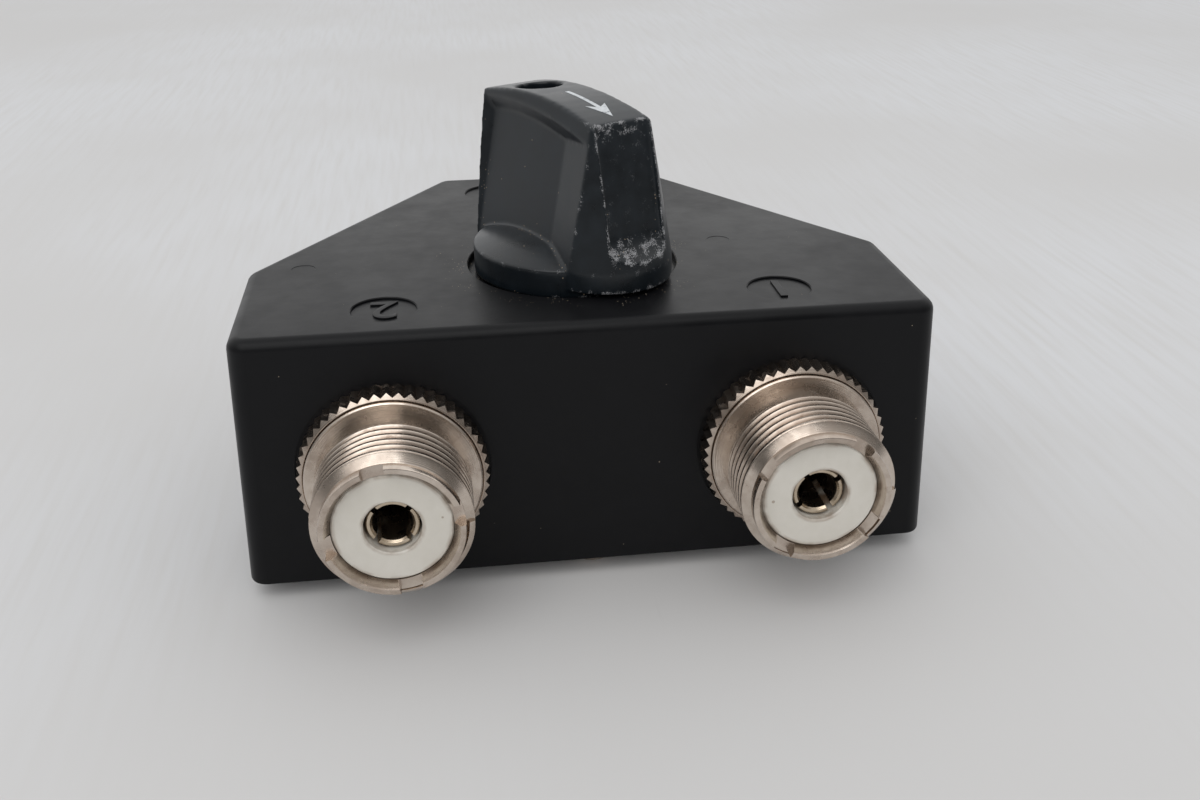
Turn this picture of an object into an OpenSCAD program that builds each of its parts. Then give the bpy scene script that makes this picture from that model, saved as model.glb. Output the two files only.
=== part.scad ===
// Two-way coaxial antenna switch: a die-cast box with two numbered sockets in
// front, a common socket behind, and a bar knob that turns a knife-blade rotor.
// Millimetres. X to the right and Y to the back, seen from the two front
// sockets. Z up. The origin is under the middle of the part, at its feet.

/* [Housing] */
// Width across the front, at the bottom edge
body_w = 75.2; // [70:0.2:91]
// Depth from the front face to the back face, at the bottom edge
body_d = 56.4; // [52:0.2:68]
// Height of the casting
body_h = 28; // [27.6:0.2:34]
// Width of the short back face
back_w = 29.6; // [27:0.2:34]
// Depth of the straight stretch of each side
side_d = 21.6; // [18:0.2:24]
// Slope of every outer wall, in degrees
draft_angle = 1.8; // [0.5:0.1:2]
// Wall thickness at the bottom edge
wall_t = 3.2; // [2.8:0.1:3.6]
// Thickness of the casting's roof
roof_t = 3; // [2.8:0.1:3.4]
// Radius of the upright corners
corner_r = 2; // [1.5:0.1:3]
// Radius of the edge round the roof
edge_r = 1.25; // [0.6:0.05:1.4]
// Depth of the round recess that the knob stands in
knob_recess_depth = 0.8; // [0.5:0.1:1]
// Radius of the round recesses for the socket numbers
mark_r = 3.45; // [3:0.05:4]
// Depth of the round recesses for the socket numbers
mark_depth = 0.25; // [0.1:0.05:0.4]
// Distance of the number recesses from the front face
mark_from_front = 7.7; // [6.5:0.1:9]

/* [Bottom cover] */
// Thickness of the cover plate
cover_t = 1.6; // [1.2:0.1:2]
// Width of the rim that the casting keeps outside the cover
cover_rim = 1.4; // [1.1:0.1:1.6]
// Gap between the cover and that rim
cover_gap = 0.15; // [0.1:0.05:0.25]
// Height of the pan heads that the part stands on
screw_head_h = 2; // [1.6:0.1:2.4]
// Radius of the pan heads
screw_head_r = 2.8; // [2.5:0.1:3]
// Radius of the screw shanks
screw_r = 1.45; // [1.2:0.05:1.5]
// Distance of the screws from the outer face
screw_inset = 4.7; // [4.4:0.1:5]

/* [Sockets] */
// Distance of each front socket's axis from the middle
port_x = 21.2; // [19:0.1:24]
// Height of the socket axes above the bottom edge
port_h = 13; // [12.6:0.1:14]
// Radius over the coupling thread
thread_r = 7.94; // [6.6:0.01:8]
// Distance from the seat of the ring nut to the front rim
barrel_l = 13.1; // [12.2:0.1:14.5]
// Step from the coupling thread in to the notched rim
rim_step = 0.86; // [0.6:0.02:1]
// Length of the notched rim in front of the thread
rim_l = 1.15; // [1.05:0.05:1.5]
// Step from the coupling thread out to the mounting thread
shoulder_w = 1.16; // [0.8:0.02:1.3]
// Width of the ring nut, from its thread to the tips of its teeth
nut_w = 0.77; // [0.7:0.01:1]
// Thickness of the ring nut
nut_t = 3; // [2.4:0.1:3.4]
// Teeth round the ring nut
nut_teeth = 51; // [40:1:60]
// Width of the barrel's wall round the insulator
barrel_wall = 2; // [1.8:0.02:2.2]
// Depth of the insulator's face behind the rim
face_depth = 1; // [0.8:0.1:1.5]
// Radius of the centre contact's bore
contact_bore_r = 2; // [1.9:0.05:2.1]
// Width of the four notches in the rim
notch_w = 2.3; // [1.4:0.1:2.6]
// Depth of the four notches in the rim
notch_depth = 1; // [0.6:0.05:1]

/* [Knob] */
// Angle of the knob's pointer from straight ahead, in degrees
pointer_angle = 28; // [24:0.5:30]
// Distance of the knob's axis from the front face
knob_from_front = 19.95; // [18.6:0.05:21]
// Radius of the knob's round base
knob_r = 11.2; // [10.6:0.1:11.6]
// Height of the knob above the roof
knob_h = 19.2; // [18:0.1:22]
// Width of the bar along its top edge
bar_top_w = 7; // [6:0.2:8]
// Width of the bar where it meets the base
bar_base_w = 13.8; // [13:0.1:14.2]
// Reach of the bar's pointer end from the knob's axis
nose_reach = 14; // [13.4:0.1:14.4]
// Reach of the bar's rear end from the knob's axis
tail_reach = 13.2; // [12.4:0.1:13.6]
// Height of the base's rim above the roof
knob_rim_h = 2.6; // [2:0.1:3.2]
// Radius of the arch along the bar's top
bar_arch_r = 45; // [38:0.5:55]
// Depth of the finger scoops in the bar's sides
scoop_depth = 1.2; // [0.8:0.1:1.4]
// Radius of the round hole in the bar's top
top_hole_r = 2.7; // [2.2:0.1:2.8]
// Distance of that hole behind the axis
top_hole_back = 6; // [5.5:0.1:6.3]

/* [Mechanism] */
// Radius of the shaft
shaft_r = 3.175; // [2.6:0.005:3.85]
// Reach of the rotor's blades from the axis
blade_reach = 12; // [10:0.1:12.2]
// Thickness of the rotor's blades
blade_t = 0.8; // [0.6:0.05:1]
// Gap between a blade and each jaw of its fork
jaw_gap = 0.03; // [0.02:0.01:0.1]
// Radius of the detent ball
ball_r = 2; // [1.8:0.05:2]
// Depth that the ball drops into a dimple
dimple_depth = 0.4; // [0.3:0.05:0.5]
// Gap between the stop tab and a stop post at either end
stop_gap = 0.05; // [0.03:0.01:0.2]
// Radial gap of the shaft in its bushing
running_gap = 0.05; // [0.03:0.01:0.08]

/* [Hidden] */
$fn = 64;
eps = 0.01;

// Heights of the housing's levels
body_z = screw_head_h;
roof_z = body_z + body_h;
ceiling_z = roof_z - roof_t;
port_z = body_z + port_h;
cover_top_z = body_z + cover_t;
recess_z = roof_z - knob_recess_depth;

// Plan of the housing
front_y = -body_d / 2;
side_run = body_d - side_d;
side_lean = (body_w - back_w) / 2;
side_len = norm([side_run, side_lean]);
side_normal = [side_run / side_len, side_lean / side_len];
side_angle = atan2(side_lean, side_run);
side_reach = side_normal * [body_w / 2, front_y + side_d];
draft_in = body_h * tan(draft_angle);
corner_turns = [
  [-90, 0], [0, side_angle], [side_angle, 90],
  [90, 180 - side_angle], [180 - side_angle, 180], [180, 270]
];
cavity_corner_r = 2;
casting_black = [0.03, 0.03, 0.035];
nickel = [0.72, 0.68, 0.62];

// Fastening of the cover
screw_top_z = body_z + 9.5;
screw_hole_gap = 0.05;
cover_hole_gap = 0.15;
boss_r = 3.4;
boss_top_z = screw_top_z + 1.5;
screw_side_x = 22;
screw_spots = [
  [0, front_y + screw_inset],
  side_screw(1),
  side_screw(-1)
];

// Sockets, along each socket's own axis from the seat of its nut
mount_r = thread_r + shoulder_w;
nut_r = mount_r + nut_w;
rim_r = thread_r - rim_step;
mouth_r = thread_r - barrel_wall;
mouth_flare = 0.55;
seat_inset = (port_z + nut_r - body_z) * tan(draft_angle);
seat_y = -front_y - seat_inset;
panel_t = wall_t - seat_inset;
spot_gap = 0.28;
mount_gap = 0.1;
nut_gap = 0.05;
shoulder_proud = 0.35;
flange_r = mount_r + 1.2;
flange_t = 1.8;
thread_chamfer = 0.55;
rim_chamfer = 0.12;
knurl_depth = 0.42;
nut_chamfer = 0.55;
insulator_gap = 0.04;
insulator_neck_r = mouth_r - 1.1;
insulator_step_z = -1;
insulator_back_z = -7.3;
contact_r = contact_bore_r + 0.6;
contact_hole_r = contact_r + 0.25;
contact_front_z = barrel_l - face_depth - 0.8;
contact_back_z = insulator_back_z + 0.8;
contact_bore_l = 9;
contact_slot_w = 0.6;
contact_slot_l = 5;
tail_r = 1.25;
tail_end_z = -12.5;
tab_z = -11.1;
notch_turn_1 = 56;
notch_turn_2 = 12;
notch_turn_common = 56;
slot_turn_1 = 35;
slot_turn_2 = 45;
slot_turn_common = 20;

// Knob and shaft
axis_y = front_y + knob_from_front;
knob_z = recess_z + 0.3;
knob_top_z = roof_z + knob_h;
rim_z = roof_z + knob_rim_h;
recess_r = knob_r + 0.75;
bar_foot_z = roof_z + 0.5;
bar_lean = atan((bar_base_w - bar_top_w) / 2 / (knob_top_z - rim_z));
nose_r = 7.2;
nose_lean = 2.8;
bar_tail_r = 9.2;
tail_lean = 0.5;
dome_r = 28;
dome_centre_z = rim_z - sqrt(dome_r * dome_r - knob_r * knob_r);
arch_centre_z = knob_top_z - bar_arch_r;
arch_back = 2;
scoop_front_s = 4;
scoop_front_flare = 6.4;
scoop_rear_s = -10.6;
scoop_rear_flare = 1.3;
scoop_arch_r = 34;
scoop_arch_back = 6;
scoop_below_top = 3.8;
scoop_top_flare = 2.5;
scoop_top_start = 2.7;
channel_half_w = 3.5;
channel_top_s = nose_reach - 5;
channel_foot_s = nose_reach - 2.3;
channel_foot_z = rim_z + 3.1;
channel_cove_r = 2.2;
top_hole_depth = 8.5;
bushing_wall = 1.575;
bushing_flange_w = 1.45;
knob_well_gap = 0.8;
knob_well_r = shaft_r + bushing_wall + bushing_flange_w + knob_well_gap;
knob_well_top_z = roof_z + 3.4;
shaft_top_z = roof_z + 15;
knob_bore_top_z = shaft_top_z + 0.3;
set_screw_z = roof_z + 7;
set_screw_r = 1.5;
set_screw_l = 5.8;
shaft_flat = shaft_r - 0.45;
plastic_black = [0.05, 0.055, 0.06];

// Stack of the rotor, from the blades upwards
blade_z = port_z - blade_t / 2;
hub_z = blade_z + blade_t;
hub_h = 4;
plate_z = hub_z + hub_h;
plate_t = 1.5;
plate_r = 11.2;
plate_top_z = plate_z + plate_t;
collar_r = shaft_r + 1.425;
collar_t = 0.9;
boss_bottom_z = plate_top_z + 1.1;
bushing_r = shaft_r + bushing_wall;
bushing_boss_wall = 2.75;
bushing_boss_r = bushing_r + bushing_boss_wall;
bushing_gap = 0.03;
bushing_flange_r = bushing_r + bushing_flange_w;
bushing_flange_t = 1;
bushing_top_z = recess_z + bushing_flange_t;
washer_t = 0.5;
ring_t = 0.6;
ring_z = bushing_top_z + washer_t;
ring_groove_r = shaft_r - 0.5;
ring_gap = 0.03;
tenon_r = shaft_r - 0.575;
tenon_flat = tenon_r - 0.4;
tenon_z = hub_z + 1.2;
tenon_gap = 0.05;

// Blades and rivets, with angles counted from the signal blade
throw_angle = 2 * pointer_angle;
blade_w = 4;
signal_hub_r = 3.2;
ground_start = 40;
rivet_r = 0.8;
rivet_gap = 0.05;
rivet_head_r = 1.4;
rivet_head_t = 0.5;
rivet_at_r = collar_r + rivet_head_r + 0.4;
rivet_pocket_z = plate_z - 1.5;
hub_r = rivet_at_r + 1.8;
ground_in_r = rivet_at_r - 1.4;
ground_out_r = rivet_at_r + 1.6;
brass = [0.78, 0.62, 0.33];

// Forks and leaf
jaw_t = 0.5;
jaw_in_r = hub_r + 0.8;
web_in_r = blade_reach + 0.35;
web_out_r = web_in_r + 0.6;
jaw_half_angle = 10;
strap_t = 0.6;
strap_w = 3;
tab_w = 7;
tab_h = 7;
tail_hole_r = tail_r + 0.05;
tab_y = seat_y + tab_z;
strap_lap = 0.5;
leaf_z = blade_z - 1.7;
leaf_t = 0.5;
leaf_w = 4;
leaf_button_r = 1.5;
leaf_end = 2.5;

// Detent and stops
track_r = 9.4;
ball_lift_gap = 0.03;
ball_z = plate_top_z + ball_r + ball_lift_gap;
ball_bore_gap = 0.06;
ball_boss_r = 4;
ball_boss_z = plate_top_z + 0.9;
ball_bore_top_z = recess_z - 1.2;
dimple_r = ball_r + 0.05;
tab_half_w = 2;
stop_r = 13.6;
stop_tab_r = 15;
post_r = 2;
post_z = plate_z - 0.2;
post_turn = asin((tab_half_w + post_r + stop_gap) / stop_r);
spring_wire_r = 0.22;
spring_coil_r = ball_r - 0.5;
spring_turns = 4;
spring_sides = 6;
spring_steps = 14;
steel = [0.6, 0.6, 0.62];

// ---------- Shared places and outlines ----------

// Corner i of the housing's plan, moved in by d from the outer faces
function plan_corner(i, d) =
  let (
    mirrored = i > 2,
    k = mirrored ? 5 - i : i,
    side_x = body_w / 2 - d,
    back_y = -front_y - d,
    x = k == 2 ? (side_reach - d - side_normal[1] * back_y) / side_normal[0] : side_x,
    y = k == 0 ? front_y + d
      : k == 2 ? back_y
      : (side_reach - d - side_normal[0] * side_x) / side_normal[1]
  )
  [mirrored ? -x : x, y];

// The housing's plan moved in by d, with its corners rounded to radius r
function plan_outline(d, r, step = 4) = [
  for (i = [0:5])
    let (from = corner_turns[i][0], to = corner_turns[i][1])
      for (n = [0:step])
        let (a = from + (to - from) * n / step)
          plan_corner(i, d + r) + r * [cos(a), sin(a)]
];

// Place of the cover screw beside the slanted wall on one side
function side_screw(side) =
  let (y = (side_reach - screw_inset - side_normal[0] * screw_side_x) / side_normal[1])
    [side * screw_side_x, y];

// Puts children on a socket's axis, +Z outwards from the seat of its nut
module on_port_1() { translate([port_x, -seat_y, port_z]) rotate([90, 0, 0]) children(); }
module on_port_2() { translate([-port_x, -seat_y, port_z]) rotate([90, 0, 0]) children(); }
module on_common() { translate([0, seat_y, port_z]) rotate([90, 0, 180]) children(); }

// Puts children on the knob's axis, +X along the pointer
module on_axis(turn = 0) {
  translate([0, axis_y, 0]) rotate([0, 0, pointer_angle - 90 + turn]) children();
}

// Puts children on the axis without the pointer's turn, +X straight ahead
module on_axis_ahead(turn = 0) {
  translate([0, axis_y, 0]) rotate([0, 0, turn - 90]) children();
}

// A wedge of a ring between two angles
module ring_wedge(r_in, r_out, from, to, h) {
  steps = ceil(abs(to - from) / 6);
  linear_extrude(height = h)
    polygon(concat(
      [for (n = [0:steps]) let (a = from + (to - from) * n / steps) r_out * [cos(a), sin(a)]],
      [for (n = [steps:-1:0]) let (a = from + (to - from) * n / steps) r_in * [cos(a), sin(a)]]
    ));
}

// ---------- Housing ----------

// The casting's outside: sloping walls, round corners and a round roof edge
module drafted_block() {
  hull() {
    for (i = [0:5]) {
      place = plan_corner(i, corner_r);
      translate([place[0], place[1], body_z]) cylinder(r = corner_r, h = eps, $fn = 32);
      for (a = [0:18:90]) {
        top_place = plan_corner(i, draft_in + corner_r);
        ring_r = corner_r - edge_r * (1 - cos(a));
        translate([top_place[0], top_place[1], roof_z - edge_r + edge_r * sin(a) - eps])
          cylinder(r = ring_r, h = eps, $fn = 32);
      }
    }
  }
}

// The hollow inside the casting, open at the bottom
module cavity() {
  translate([0, 0, body_z - 1])
    linear_extrude(height = cover_t + 1) polygon(plan_outline(cover_rim, corner_r - 0.8));
  translate([0, 0, body_z])
    linear_extrude(height = ceiling_z - body_z) polygon(plan_outline(wall_t, cavity_corner_r));
}

// Bosses and posts that hang from the ceiling, and bosses for the cover screws
module cast_bosses() {
  translate([0, axis_y, boss_bottom_z])
    cylinder(r = bushing_boss_r, h = ceiling_z - boss_bottom_z + eps);
  on_axis_ahead(180) translate([track_r, 0, ball_boss_z])
    cylinder(r = ball_boss_r, h = ceiling_z - ball_boss_z + eps, $fn = 48);
  for (side = [-1, 1])
    on_axis_ahead(180 + side * (pointer_angle + post_turn)) translate([stop_r, 0, post_z])
      cylinder(r = post_r, h = ceiling_z - post_z + eps, $fn = 32);
  for (spot = screw_spots)
    translate([spot[0], spot[1], cover_top_z])
      cylinder(r = boss_r, h = boss_top_z - cover_top_z, $fn = 32);
}

// Hole, seat for the ring nut and way in for one socket
module port_opening() {
  translate([0, 0, -panel_t - 1]) cylinder(r = mount_r + mount_gap, h = panel_t + 3);
  cylinder(r = nut_r + spot_gap, h = seat_inset + 1);
}

module housing() color(casting_black) {
  difference() {
    union() {
      difference() {
        drafted_block();
        cavity();
      }
      cast_bosses();
    }
    on_port_1() port_opening();
    on_port_2() port_opening();
    on_common() port_opening();
    translate([0, axis_y, recess_z]) cylinder(r = recess_r, h = knob_recess_depth + 1, $fn = 96);
    translate([0, axis_y, boss_bottom_z - 1])
      cylinder(r = bushing_r, h = recess_z - boss_bottom_z + 2);
    on_axis_ahead(180) translate([track_r, 0, ball_boss_z - 1])
      cylinder(r = ball_r + ball_bore_gap, h = ball_bore_top_z - ball_boss_z + 1, $fn = 48);
    for (spot = screw_spots)
      translate([spot[0], spot[1], body_z])
        cylinder(r = screw_r + screw_hole_gap, h = screw_top_z - body_z + 0.5, $fn = 32);
    for (side = [-1, 1])
      translate([side * port_x, front_y + mark_from_front, roof_z - mark_depth])
        cylinder(r = mark_r, h = 1);
  }
}

module bottom_cover() color(casting_black) {
  difference() {
    translate([0, 0, body_z])
      linear_extrude(height = cover_t)
        polygon(plan_outline(cover_rim + cover_gap, corner_r - 0.8));
    for (spot = screw_spots)
      translate([spot[0], spot[1], body_z - 1])
        cylinder(r = screw_r + cover_hole_gap, h = cover_t + 2, $fn = 32);
  }
}

// One pan-headed screw, standing on its head
module pan_screw() {
  flat_r = screw_head_r * 0.55;
  rotate_extrude($fn = 48)
    polygon(concat(
      [[0, 0], [flat_r, 0]],
      [for (a = [15:15:90])
        [flat_r + (screw_head_r - flat_r) * sin(a), (screw_head_h - 0.6) * (1 - cos(a))]],
      [[screw_head_r, screw_head_h], [screw_r, screw_head_h],
       [screw_r, screw_top_z - screw_r], [0, screw_top_z]]
    ));
}

module cover_screws() color(nickel) {
  for (spot = screw_spots) translate([spot[0], spot[1], 0]) pan_screw();
}

// ---------- Sockets ----------

// Barrel, mounting stretch and inner flange, turned from one bar
module shell_outside() {
  rim_back_z = barrel_l - rim_l;
  shoulder_z = nut_t + shoulder_proud;
  rotate_extrude($fn = 96)
    polygon([
      [0, -panel_t - flange_t], [flange_r, -panel_t - flange_t], [flange_r, -panel_t],
      [mount_r, -panel_t], [mount_r, shoulder_z], [thread_r, shoulder_z],
      [thread_r, rim_back_z - thread_chamfer], [rim_r, rim_back_z],
      [rim_r, barrel_l - rim_chamfer], [rim_r - rim_chamfer, barrel_l], [0, barrel_l]
    ]);
}

// One socket's shell, with the four notches of its rim turned by an angle
module shell(notch_turn) color(nickel) {
  difference() {
    shell_outside();
    translate([0, 0, insulator_step_z]) cylinder(r = mouth_r, h = barrel_l + 2, $fn = 96);
    translate([0, 0, barrel_l - face_depth])
      cylinder(r1 = mouth_r, r2 = mouth_r + 2 * mouth_flare, h = 2 * face_depth, $fn = 96);
    translate([0, 0, -panel_t - flange_t - 1])
      cylinder(r = insulator_neck_r + insulator_gap, h = panel_t + flange_t + 2);
    for (k = [0:3])
      rotate([0, 0, notch_turn + 90 * k])
        translate([mouth_r - 1, -notch_w / 2, barrel_l - notch_depth])
          cube([barrel_wall + 2, notch_w, notch_depth + 1]);
  }
}

// Ring nut with straight teeth and a bevelled front edge
module ring_nut() color(nickel) {
  difference() {
    intersection() {
      linear_extrude(height = nut_t)
        polygon([for (k = [0:nut_teeth - 1]) for (half = [0, 0.5])
          let (a = 360 * (k + half) / nut_teeth, r = nut_r - (half == 0 ? 0 : knurl_depth))
            r * [cos(a), sin(a)]]);
      cylinder(r1 = nut_r + nut_t, r2 = nut_r - nut_chamfer, h = nut_t + nut_chamfer / 8);
    }
    translate([0, 0, -1]) cylinder(r = mount_r + nut_gap, h = nut_t + 2, $fn = 96);
  }
}

// White insulator: a wide front, a neck through the flange and a stepped bore
module insulator() color([0.85, 0.84, 0.8]) {
  rotate_extrude($fn = 96)
    polygon([
      [tail_r + 0.05, insulator_back_z], [insulator_neck_r, insulator_back_z],
      [insulator_neck_r, insulator_step_z], [mouth_r - insulator_gap, insulator_step_z],
      [mouth_r - insulator_gap, barrel_l - face_depth], [contact_hole_r, barrel_l - face_depth],
      [contact_hole_r, contact_back_z], [tail_r + 0.05, contact_back_z]
    ]);
}

// Centre contact: a slotted tube in front and a solder tail behind
module contact(slot_turn) color(brass) {
  difference() {
    union() {
      translate([0, 0, contact_back_z])
        cylinder(r = contact_r, h = contact_front_z - contact_back_z);
      translate([0, 0, tail_end_z])
        cylinder(r = tail_r, h = contact_back_z - tail_end_z + eps, $fn = 32);
    }
    translate([0, 0, contact_front_z - contact_bore_l])
      cylinder(r = contact_bore_r, h = contact_bore_l + 1);
    for (k = [0:1])
      rotate([0, 0, slot_turn + 90 * k])
        translate([-contact_r - 1, -contact_slot_w / 2, contact_front_z - contact_slot_l])
          cube([2 * contact_r + 2, contact_slot_w, contact_slot_l + 1]);
  }
}

module port_1_shell() on_port_1() shell(notch_turn_1);
module port_1_ring_nut() on_port_1() ring_nut();
module port_1_insulator() on_port_1() insulator();
module port_1_contact() on_port_1() contact(slot_turn_1);
module port_2_shell() on_port_2() shell(notch_turn_2);
module port_2_ring_nut() on_port_2() ring_nut();
module port_2_insulator() on_port_2() insulator();
module port_2_contact() on_port_2() contact(slot_turn_2);
module common_shell() on_common() shell(notch_turn_common);
module common_ring_nut() on_common() ring_nut();
module common_insulator() on_common() insulator();
module common_contact() on_common() contact(slot_turn_common);

// ---------- Fixed contacts ----------

// Plate with a hole that is soldered over a socket's tail
module solder_tab(bottom_z) {
  difference() {
    translate([-tab_w / 2, 0, bottom_z])
      cube([tab_w, strap_t, port_z + tab_h / 2 - bottom_z]);
    translate([0, -1, port_z]) rotate([-90, 0, 0])
      cylinder(r = tail_hole_r, h = strap_t + 2, $fn = 32);
  }
}

// Fork on the right: two jaws round the blade's path, a web and a strap
module fork_right() color(brass) {
  jaw_bottom_z = blade_z - jaw_gap - jaw_t;
  jaw_top_z = blade_z + blade_t + jaw_gap;
  on_axis_ahead(pointer_angle) {
    for (z = [jaw_bottom_z, jaw_top_z])
      translate([0, 0, z]) ring_wedge(jaw_in_r, web_out_r, -jaw_half_angle, jaw_half_angle, jaw_t);
    translate([0, 0, jaw_bottom_z])
      ring_wedge(web_in_r, web_out_r, -jaw_half_angle, jaw_half_angle,
                 jaw_top_z + jaw_t - jaw_bottom_z);
  }
  difference() {
    translate([web_out_r * sin(pointer_angle), -tab_y - strap_w, port_z - strap_t / 2])
      cube([port_x - tab_w / 2 + strap_lap - web_out_r * sin(pointer_angle), strap_w, strap_t]);
    translate([0, axis_y, port_z - 1]) cylinder(r = web_in_r, h = 2, $fn = 96);
  }
  translate([port_x, -tab_y - strap_t, 0]) solder_tab(port_z - tab_h / 2);
}

module port_1_fork() fork_right();
module port_2_fork() mirror([1, 0, 0]) fork_right();

// Leaf from the common socket to the button under the rotor's middle
module common_leaf() color(brass) {
  translate([0, tab_y, 0]) solder_tab(leaf_z);
  translate([-leaf_w / 2, axis_y - leaf_end, leaf_z])
    cube([leaf_w, tab_y + strap_t - axis_y + leaf_end, leaf_t]);
  translate([0, axis_y, leaf_z]) cylinder(r = leaf_button_r, h = blade_z - leaf_z, $fn = 32);
}

// ---------- Bushing and detent ----------

module shaft_bushing() color(brass) {
  translate([0, axis_y, 0])
    rotate_extrude($fn = 96)
      polygon([
        [shaft_r + running_gap, boss_bottom_z], [bushing_r - bushing_gap, boss_bottom_z],
        [bushing_r - bushing_gap, recess_z], [bushing_flange_r, recess_z],
        [bushing_flange_r, bushing_top_z], [shaft_r + running_gap, bushing_top_z]
      ]);
}

module detent_ball() color(steel) {
  on_axis_ahead(180) translate([track_r, 0, ball_z]) sphere(r = ball_r, $fn = 48);
}

// Point of the spring's wire: step n along the coil, side k round the wire
function wire_point(n, k) =
  let (
    a = 360 * n / spring_steps,
    b = 360 * k / spring_sides,
    r = spring_coil_r + spring_wire_r * cos(b),
    rise = (ball_bore_top_z - ball_z - ball_r - 2 * spring_wire_r) / (spring_turns * spring_steps)
  )
  [r * cos(a), r * sin(a), spring_wire_r + rise * n + spring_wire_r * sin(b)];

// Coil spring above the ball, swept along its helix
module detent_spring() color(steel) {
  last = spring_turns * spring_steps;
  points = [for (n = [0:last]) for (k = [0:spring_sides - 1]) wire_point(n, k)];
  walls = [for (n = [0:last - 1]) for (k = [0:spring_sides - 1])
    let (next = (k + 1) % spring_sides)
      [n * spring_sides + k, (n + 1) * spring_sides + k,
       (n + 1) * spring_sides + next, n * spring_sides + next]];
  start = [for (k = [0:spring_sides - 1]) k];
  end = [for (k = [spring_sides - 1:-1:0]) last * spring_sides + k];
  on_axis_ahead(180) translate([track_r, 0, ball_z + ball_r])
    polyhedron(points = points, faces = concat(walls, [start], [end]));
}

// ---------- Knob ----------

// Half the bar's width at a height
function bar_half_w(z) =
  bar_base_w / 2 + (bar_top_w - bar_base_w) / 2 * (z - rim_z) / (knob_top_z - rim_z);

// Prism along the pointer between the bar's two leaning sides
module side_prism(l, low_z, high_z) {
  rotate([90, 0, 90])
    linear_extrude(height = l, center = true)
      polygon([
        [-bar_half_w(low_z), low_z], [bar_half_w(low_z), low_z],
        [bar_half_w(high_z), high_z], [-bar_half_w(high_z), high_z]
      ]);
}

// Round base with a straight rim and a domed top
module knob_base() {
  intersection() {
    translate([0, 0, knob_z]) cylinder(r = knob_r, h = knob_top_z - knob_z, $fn = 96);
    translate([0, 0, dome_centre_z]) sphere(r = dome_r, $fn = 128);
  }
}

// One end of the bar: a round post, straight below the rim and leaning above it
module bar_end(reach, r, lean) {
  translate([reach - r, 0, bar_foot_z]) cylinder(r = r, h = rim_z - bar_foot_z, $fn = 96);
  translate([reach - r, 0, rim_z])
    cylinder(r1 = r, r2 = r - lean, h = knob_top_z - rim_z, $fn = 96);
}

// Grip bar: leaning sides, round ends and an arched top
module knob_bar() {
  intersection() {
    union() {
      bar_end(nose_reach, nose_r, nose_lean);
      rotate([0, 0, 180]) bar_end(tail_reach, bar_tail_r, tail_lean);
      translate([bar_tail_r - tail_reach, -knob_r, bar_foot_z])
        cube([nose_reach - nose_r + tail_reach - bar_tail_r, 2 * knob_r, knob_top_z - bar_foot_z]);
    }
    side_prism(4 * knob_r, bar_foot_z, knob_top_z);
    translate([-arch_back, 0, arch_centre_z]) rotate([90, 0, 0])
      cylinder(r = bar_arch_r, h = 4 * knob_r, center = true, $fn = 160);
  }
}

// Finger scoop in one side of the bar: a leaning panel that flares out to both ends and the top
module side_scoop(side) {
  panel_t = side * (bar_base_w / 2 - scoop_depth);
  edge_t = side * bar_base_w / 2;
  far_t = side * 2 * knob_r;
  intersection() {
    translate([0, 0, rim_z]) rotate([side * bar_lean, 0, 0]) translate([0, 0, -5])
      linear_extrude(height = knob_h + 5)
        polygon([
          [scoop_rear_s, panel_t], [scoop_front_s, panel_t],
          [scoop_front_s + scoop_front_flare, edge_t], [nose_reach + 6, far_t],
          [-tail_reach - 6, far_t], [scoop_rear_s - scoop_rear_flare, edge_t]
        ]);
    translate([-scoop_arch_back, side * scoop_top_start, knob_top_z - scoop_below_top - scoop_arch_r])
      rotate([-side * 90, 0, 0])
        cylinder(
          r1 = scoop_arch_r, r2 = scoop_arch_r + scoop_top_flare * knob_r, h = knob_r, $fn = 160
        );
  }
}

// Channel down the pointer end, with a leaning floor and a cove at its foot
module pointer_channel() {
  cove_s = channel_foot_s + channel_cove_r;
  rotate([90, 0, 0]) translate([0, 0, -channel_half_w])
    linear_extrude(height = 2 * channel_half_w)
      polygon([
        [channel_top_s, knob_top_z],
        for (a = [180:15:270])
          [cove_s + channel_cove_r * cos(a), channel_foot_z + channel_cove_r * sin(a)],
        [nose_reach + 2, channel_foot_z - channel_cove_r], [nose_reach + 2, knob_top_z]
      ]);
}

module knob() color(plastic_black) on_axis() {
  difference() {
    union() {
      difference() {
        knob_bar();
        side_scoop(1);
        side_scoop(-1);
        pointer_channel();
      }
      knob_base();
    }
    translate([-top_hole_back, 0, knob_top_z - top_hole_depth])
      cylinder(r = top_hole_r, h = top_hole_depth + 1, $fn = 48);
    translate([0, 0, knob_z - 1]) cylinder(r = knob_well_r, h = knob_well_top_z - knob_z + 1);
    translate([0, 0, knob_z]) cylinder(r = shaft_r + running_gap, h = knob_bore_top_z - knob_z);
    translate([0, 0, set_screw_z]) rotate([0, -90, 0])
      cylinder(r = set_screw_r + screw_hole_gap, h = tail_reach + 1, $fn = 32);
  }
}

module knob_set_screw() color(steel) on_axis() {
  translate([-shaft_flat, 0, set_screw_z]) rotate([0, -90, 0])
    cylinder(r = set_screw_r, h = set_screw_l, $fn = 32);
}

// ---------- Rotor ----------

// The tenon's two flats, made larger by a gap for the holes it fits
module tenon(gap, h) {
  intersection() {
    cylinder(r = tenon_r + gap, h = h, $fn = 48);
    translate([-tenon_r - 1, -tenon_flat - gap, 0]) cube([2 * tenon_r + 2, 2 * (tenon_flat + gap), h]);
  }
}

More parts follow.
